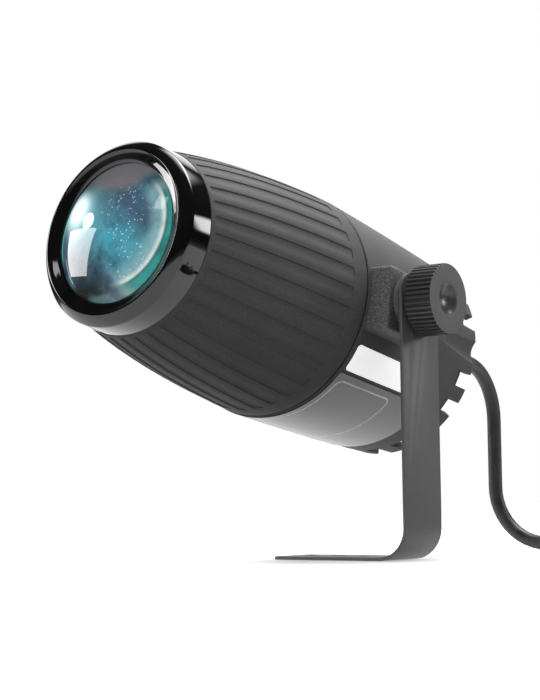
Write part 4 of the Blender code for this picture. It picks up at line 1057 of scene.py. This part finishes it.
def dress_solids(finishes):
    """Gives every solid that still shows its finish."""
    looks = {
        "rear_cover": "cover", "relief_nut": "plastic", "cord_tail": "sheath", "heat_sink": "aluminium",
        "led_board": "white_board", "led_emitter": "phosphor", "collimator": "clear",
        "collimator_holder": "plastic", "driver_tray": "plastic", "driver_board": "board",
        "transformer": "tape", "choke": "tape", "input_capacitor": "plastic", "output_capacitor": "blue",
        "terminal_block": "green", "transistor": "plastic", "wire_live": "brown", "wire_neutral": "blue",
        "wire_earth": "green", "wire_led_plus": "red", "wire_led_minus": "plastic", "pivot_insert": "brass",
        "lens_gasket": "rubber", "lens_retainer": "steel",
    }
    for name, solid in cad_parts.items():
        if not solid.hide_render:
            solid.data.materials.clear()
            solid.data.materials.append(finishes[looks.get(name, "steel")])


# Studio


def lamp(name, target, azimuth, elevation, distance, width, height, radiance, shape="RECTANGLE"):
    """A soft lamp seen from the target at an azimuth and an elevation, as bright as the radiance says."""
    way = direction(azimuth, elevation)
    data = bpy.data.lights.new(name, "AREA")
    data.shape = shape
    data.size = width
    data.size_y = height
    area = width * height * (math.pi / 4 if shape == "ELLIPSE" else 1.0)
    data.energy = radiance * math.pi * area
    light = bpy.data.objects.new(name, data)
    light.location = target + way * distance
    light.rotation_euler = way.to_track_quat("Z", "Y").to_euler()
    bpy.context.scene.collection.objects.link(light)
    return light


def soften_lamp(light, edge):
    """Lets a lamp fade towards its sides over a share of its width."""
    light.data.use_nodes = True
    tree = light.data.node_tree
    surface = add_node(tree, "NewGeometry").outputs["Parametric"]
    across = add_node(tree, "SeparateXYZ", {"Vector": surface}).outputs
    sides = [fade(tree, across[axis], start, end, smooth=True)
             for axis in "XY" for start, end in ((0.0, edge), (1.0, 1.0 - edge))]
    glow = next(entry for entry in tree.nodes if entry.type == "EMISSION")
    feed(tree, glow.inputs["Strength"], times(tree, *sides))


def left_softbox():
    """The big softbox on the left, seen at a slant: its right side is nearer the lens than its left."""
    nearer = Vector((-0.848, -0.530, 0.236))
    further = Vector((-1.700, 0.030, 0.346))
    across = further - nearer
    facing = across.cross(Vector((0.0, 0.0, 1.0))).normalized()
    up = facing.cross(across).normalized()
    light = lamp("left_softbox", LENS_MIDDLE, 0.0, 0.0, 1.0, across.length, 0.413, LEFT_SOFTBOX)
    light.data.color = (1.0, 0.965, 0.96)
    light.matrix_world = standing(up.cross(-facing), up, -facing, LENS_MIDDLE + (nearer + further) / 2)
    return light


def set_lamps():
    """Four lamps only show in the gloss, three only light the coats, and a small one does both."""
    left = left_softbox()
    lamp("small_lamp", LENS_MIDDLE, -70.0, 25.7, 1.1, 0.22, 0.13, SMALL_LAMP, "ELLIPSE")
    rear = lamp("rear_softbox", Vector((0.04, -0.11, 0.14)), 143.0, 12.0, 1.2, 0.56, 0.30, REAR_SOFTBOX)
    strip = lamp("top_strip", BODY_MIDDLE, 159.0, 66.0, 1.3, 1.1, 1.3, TOP_STRIP)
    spark = lamp("front_spark", LENS_MIDDLE, -7.0, 43.0, 1.4, 0.22, 0.26, FRONT_SPARK)
    for light, edge in ((rear, 0.25), (strip, 0.35), (spark, 0.2)):
        soften_lamp(light, edge)
    for light in (left, rear, strip, spark):
        light.visible_diffuse = False
    front = lamp("front_fill", BODY_MIDDLE, 8.0, 15.0, 1.5, 1.0, 1.0, FRONT_FILL)
    overhead = lamp("overhead", BODY_MIDDLE, 190.0, 70.0, 1.3, 1.1, 1.1, OVERHEAD)
    right = lamp("right_fill", BODY_MIDDLE, 105.0, 35.0, 1.2, 0.8, 0.8, RIGHT_FILL)
    for light in (front, overhead, right):
        light.visible_glossy = False


def set_world():
    """White behind the object, a plain soft fill on it, and a dark upper studio in its gloss."""
    world = bpy.data.worlds.new("studio")
    bpy.context.scene.world = world
    world.use_nodes = True
    tree = world.node_tree
    tree.nodes.clear()
    rays = add_node(tree, "LightPath").outputs
    way = add_node(tree, "TexCoord").outputs["Generated"]
    height = add_node(tree, "SeparateXYZ", {"Vector": way}).outputs["Z"]
    table = fade(tree, height, -0.14, -0.02, 1.0, 0.02)
    behind = calc_vector(tree, "DOT_PRODUCT", way, (-0.604, 0.720, 0.342))
    backdrop = fade(tree, behind, 0.86, 0.94, 0.0, 1.6, smooth=True)
    fill, gloss, white = (
        add_node(tree, "Background", {"Color": WHITE, "Strength": strength}).outputs[0]
        for strength in (FILL, calc(tree, "MAXIMUM", table, backdrop), 1.0))
    lit = add_node(tree, "MixShader", {"Fac": rays["Is Glossy Ray"], 1: fill, 2: gloss}).outputs[0]
    seen = calc(tree, "MAXIMUM", rays["Is Camera Ray"], rays["Is Transmission Ray"])
    whole = add_node(tree, "MixShader", {"Fac": seen, 1: lit, 2: white}).outputs[0]
    add_node(tree, "OutputWorld", {"Surface": whole})


def set_floor():
    """A white table that fades into the background and keeps the object's shadow near it."""
    bare()
    bpy.ops.mesh.primitive_plane_add(size=1.0, location=(0.0, 0.0, -0.0002))
    floor = named("studio_table")
    floor.scale = (TABLE, TABLE, 1.0)
    freeze()
    look, tree = new_finish("table_white")
    tree.nodes.clear()
    rays = add_node(tree, "LightPath").outputs
    place = object_place(tree)
    tone = mix(tree, grey(0.22), grey(0.45), rays["Is Camera Ray"])
    matt = add_node(tree, "BsdfDiffuse", {"Color": tone}).outputs[0]
    from_foot = calc_vector(tree, "DISTANCE", place, (0.045, -0.005, 0.0))
    open_floor = fade(tree, from_foot, 0.03, 0.072, 0.45, 1.0, smooth=True)
    near = fade(tree, calc_vector(tree, "LENGTH", place), 1.0, 0.8)
    seen = times(tree, open_floor, rays["Is Camera Ray"])
    mirrored = times(tree, rays["Is Glossy Ray"], near)
    strength = calc(tree, "ADD", seen, mirrored)
    glow = add_node(tree, "Emission", {"Color": WHITE, "Strength": strength}).outputs[0]
    both = add_node(tree, "AddShader", {0: matt, 1: glow}).outputs[0]
    add_node(tree, "OutputMaterial", {"Surface": both})
    floor.data.materials.append(look)


def make_finishes():
    return {
        "front": powder_coat("front_powder_coat", (0.066, 0.066, 0.068), 2600.0, 0.00003, shine=0.22),
        "rear": powder_coat("rear_powder_coat", (0.068, 0.068, 0.070), 2600.0, 0.00003),
        "boss": powder_coat(
            "boss_coarse_coat", (0.084, 0.084, 0.086), 1500.0, 0.00012, specks_and_glints=1.2, roughness=0.55, shine=0.4,
            shade=0.6),
        "cover": powder_coat("cover_powder_coat", (0.066, 0.066, 0.068), 2400.0, 0.00004),
        "bracket": powder_coat(
            "bracket_powder_coat", (0.071, 0.071, 0.073), 2800.0, 0.00004, specks_and_glints=0.45, roughness=0.50,
            shine=0.65),
        "knob": knob_moulding(),
        "plastic": moulded("black_moulding", (0.014, 0.014, 0.015), 0.45),
        "plug": moulded("plug_moulding", (0.016, 0.016, 0.017), 0.40, 1600.0, 0.00003),
        "rubber": moulded("black_rubber", (0.012, 0.012, 0.012), 0.68, 1200.0, 0.00003),
        "gloss": gloss_black(),
        "lens": lens_with_painted_light(),
        "film": label_film(),
        "sticker": paper_with_painted_glow(),
        "sheath": cord_sheath(),
        "steel": metal("zinc_steel", (0.60, 0.60, 0.62), 0.32),
        "brass": metal("turned_brass", (0.72, 0.52, 0.22), 0.28),
        "aluminium": metal("heat_sink_aluminium", (0.74, 0.74, 0.76), 0.38),
        "white_board": moulded("white_resist", (0.80, 0.80, 0.79), 0.35),
        "board": moulded("green_resist", (0.02, 0.12, 0.04), 0.35),
        "phosphor": moulded("yellow_phosphor", (0.85, 0.68, 0.12), 0.4),
        "clear": moulded("clear_acrylic", (0.80, 0.83, 0.85), 0.08),
        "tape": moulded("yellow_winding_tape", (0.72, 0.55, 0.06), 0.4),
        "blue": moulded("blue_sleeve", (0.02, 0.06, 0.32), 0.4),
        "brown": moulded("brown_sleeve", (0.09, 0.035, 0.015), 0.45),
        "green": moulded("green_sleeve", (0.08, 0.34, 0.03), 0.45),
        "red": moulded("red_sleeve", (0.45, 0.02, 0.015), 0.45),
    }


set_camera()
finishes = make_finishes()
make_cord(finishes)
make_bracket(finishes)
make_front_barrel(finishes)
make_rear_barrel(finishes)
make_lens_ring(finishes)
make_lens(finishes)
make_film("label_film", finishes["film"], "label_film", "rating_label",
          start=-139.1, sweep=98.2, front=0.0152, back=-0.0585)
make_film("blank_sticker", finishes["sticker"], "sticker_white", "serial_sticker",
          start=-38.6, sweep=15.1, front=0.0138, back=-0.042, corner=0.0019)
make_pivot(finishes)
make_knob(finishes)
make_strain_relief(finishes)
make_cover_screws(finishes)
dress_solids(finishes)
set_world()
set_lamps()
set_floor()
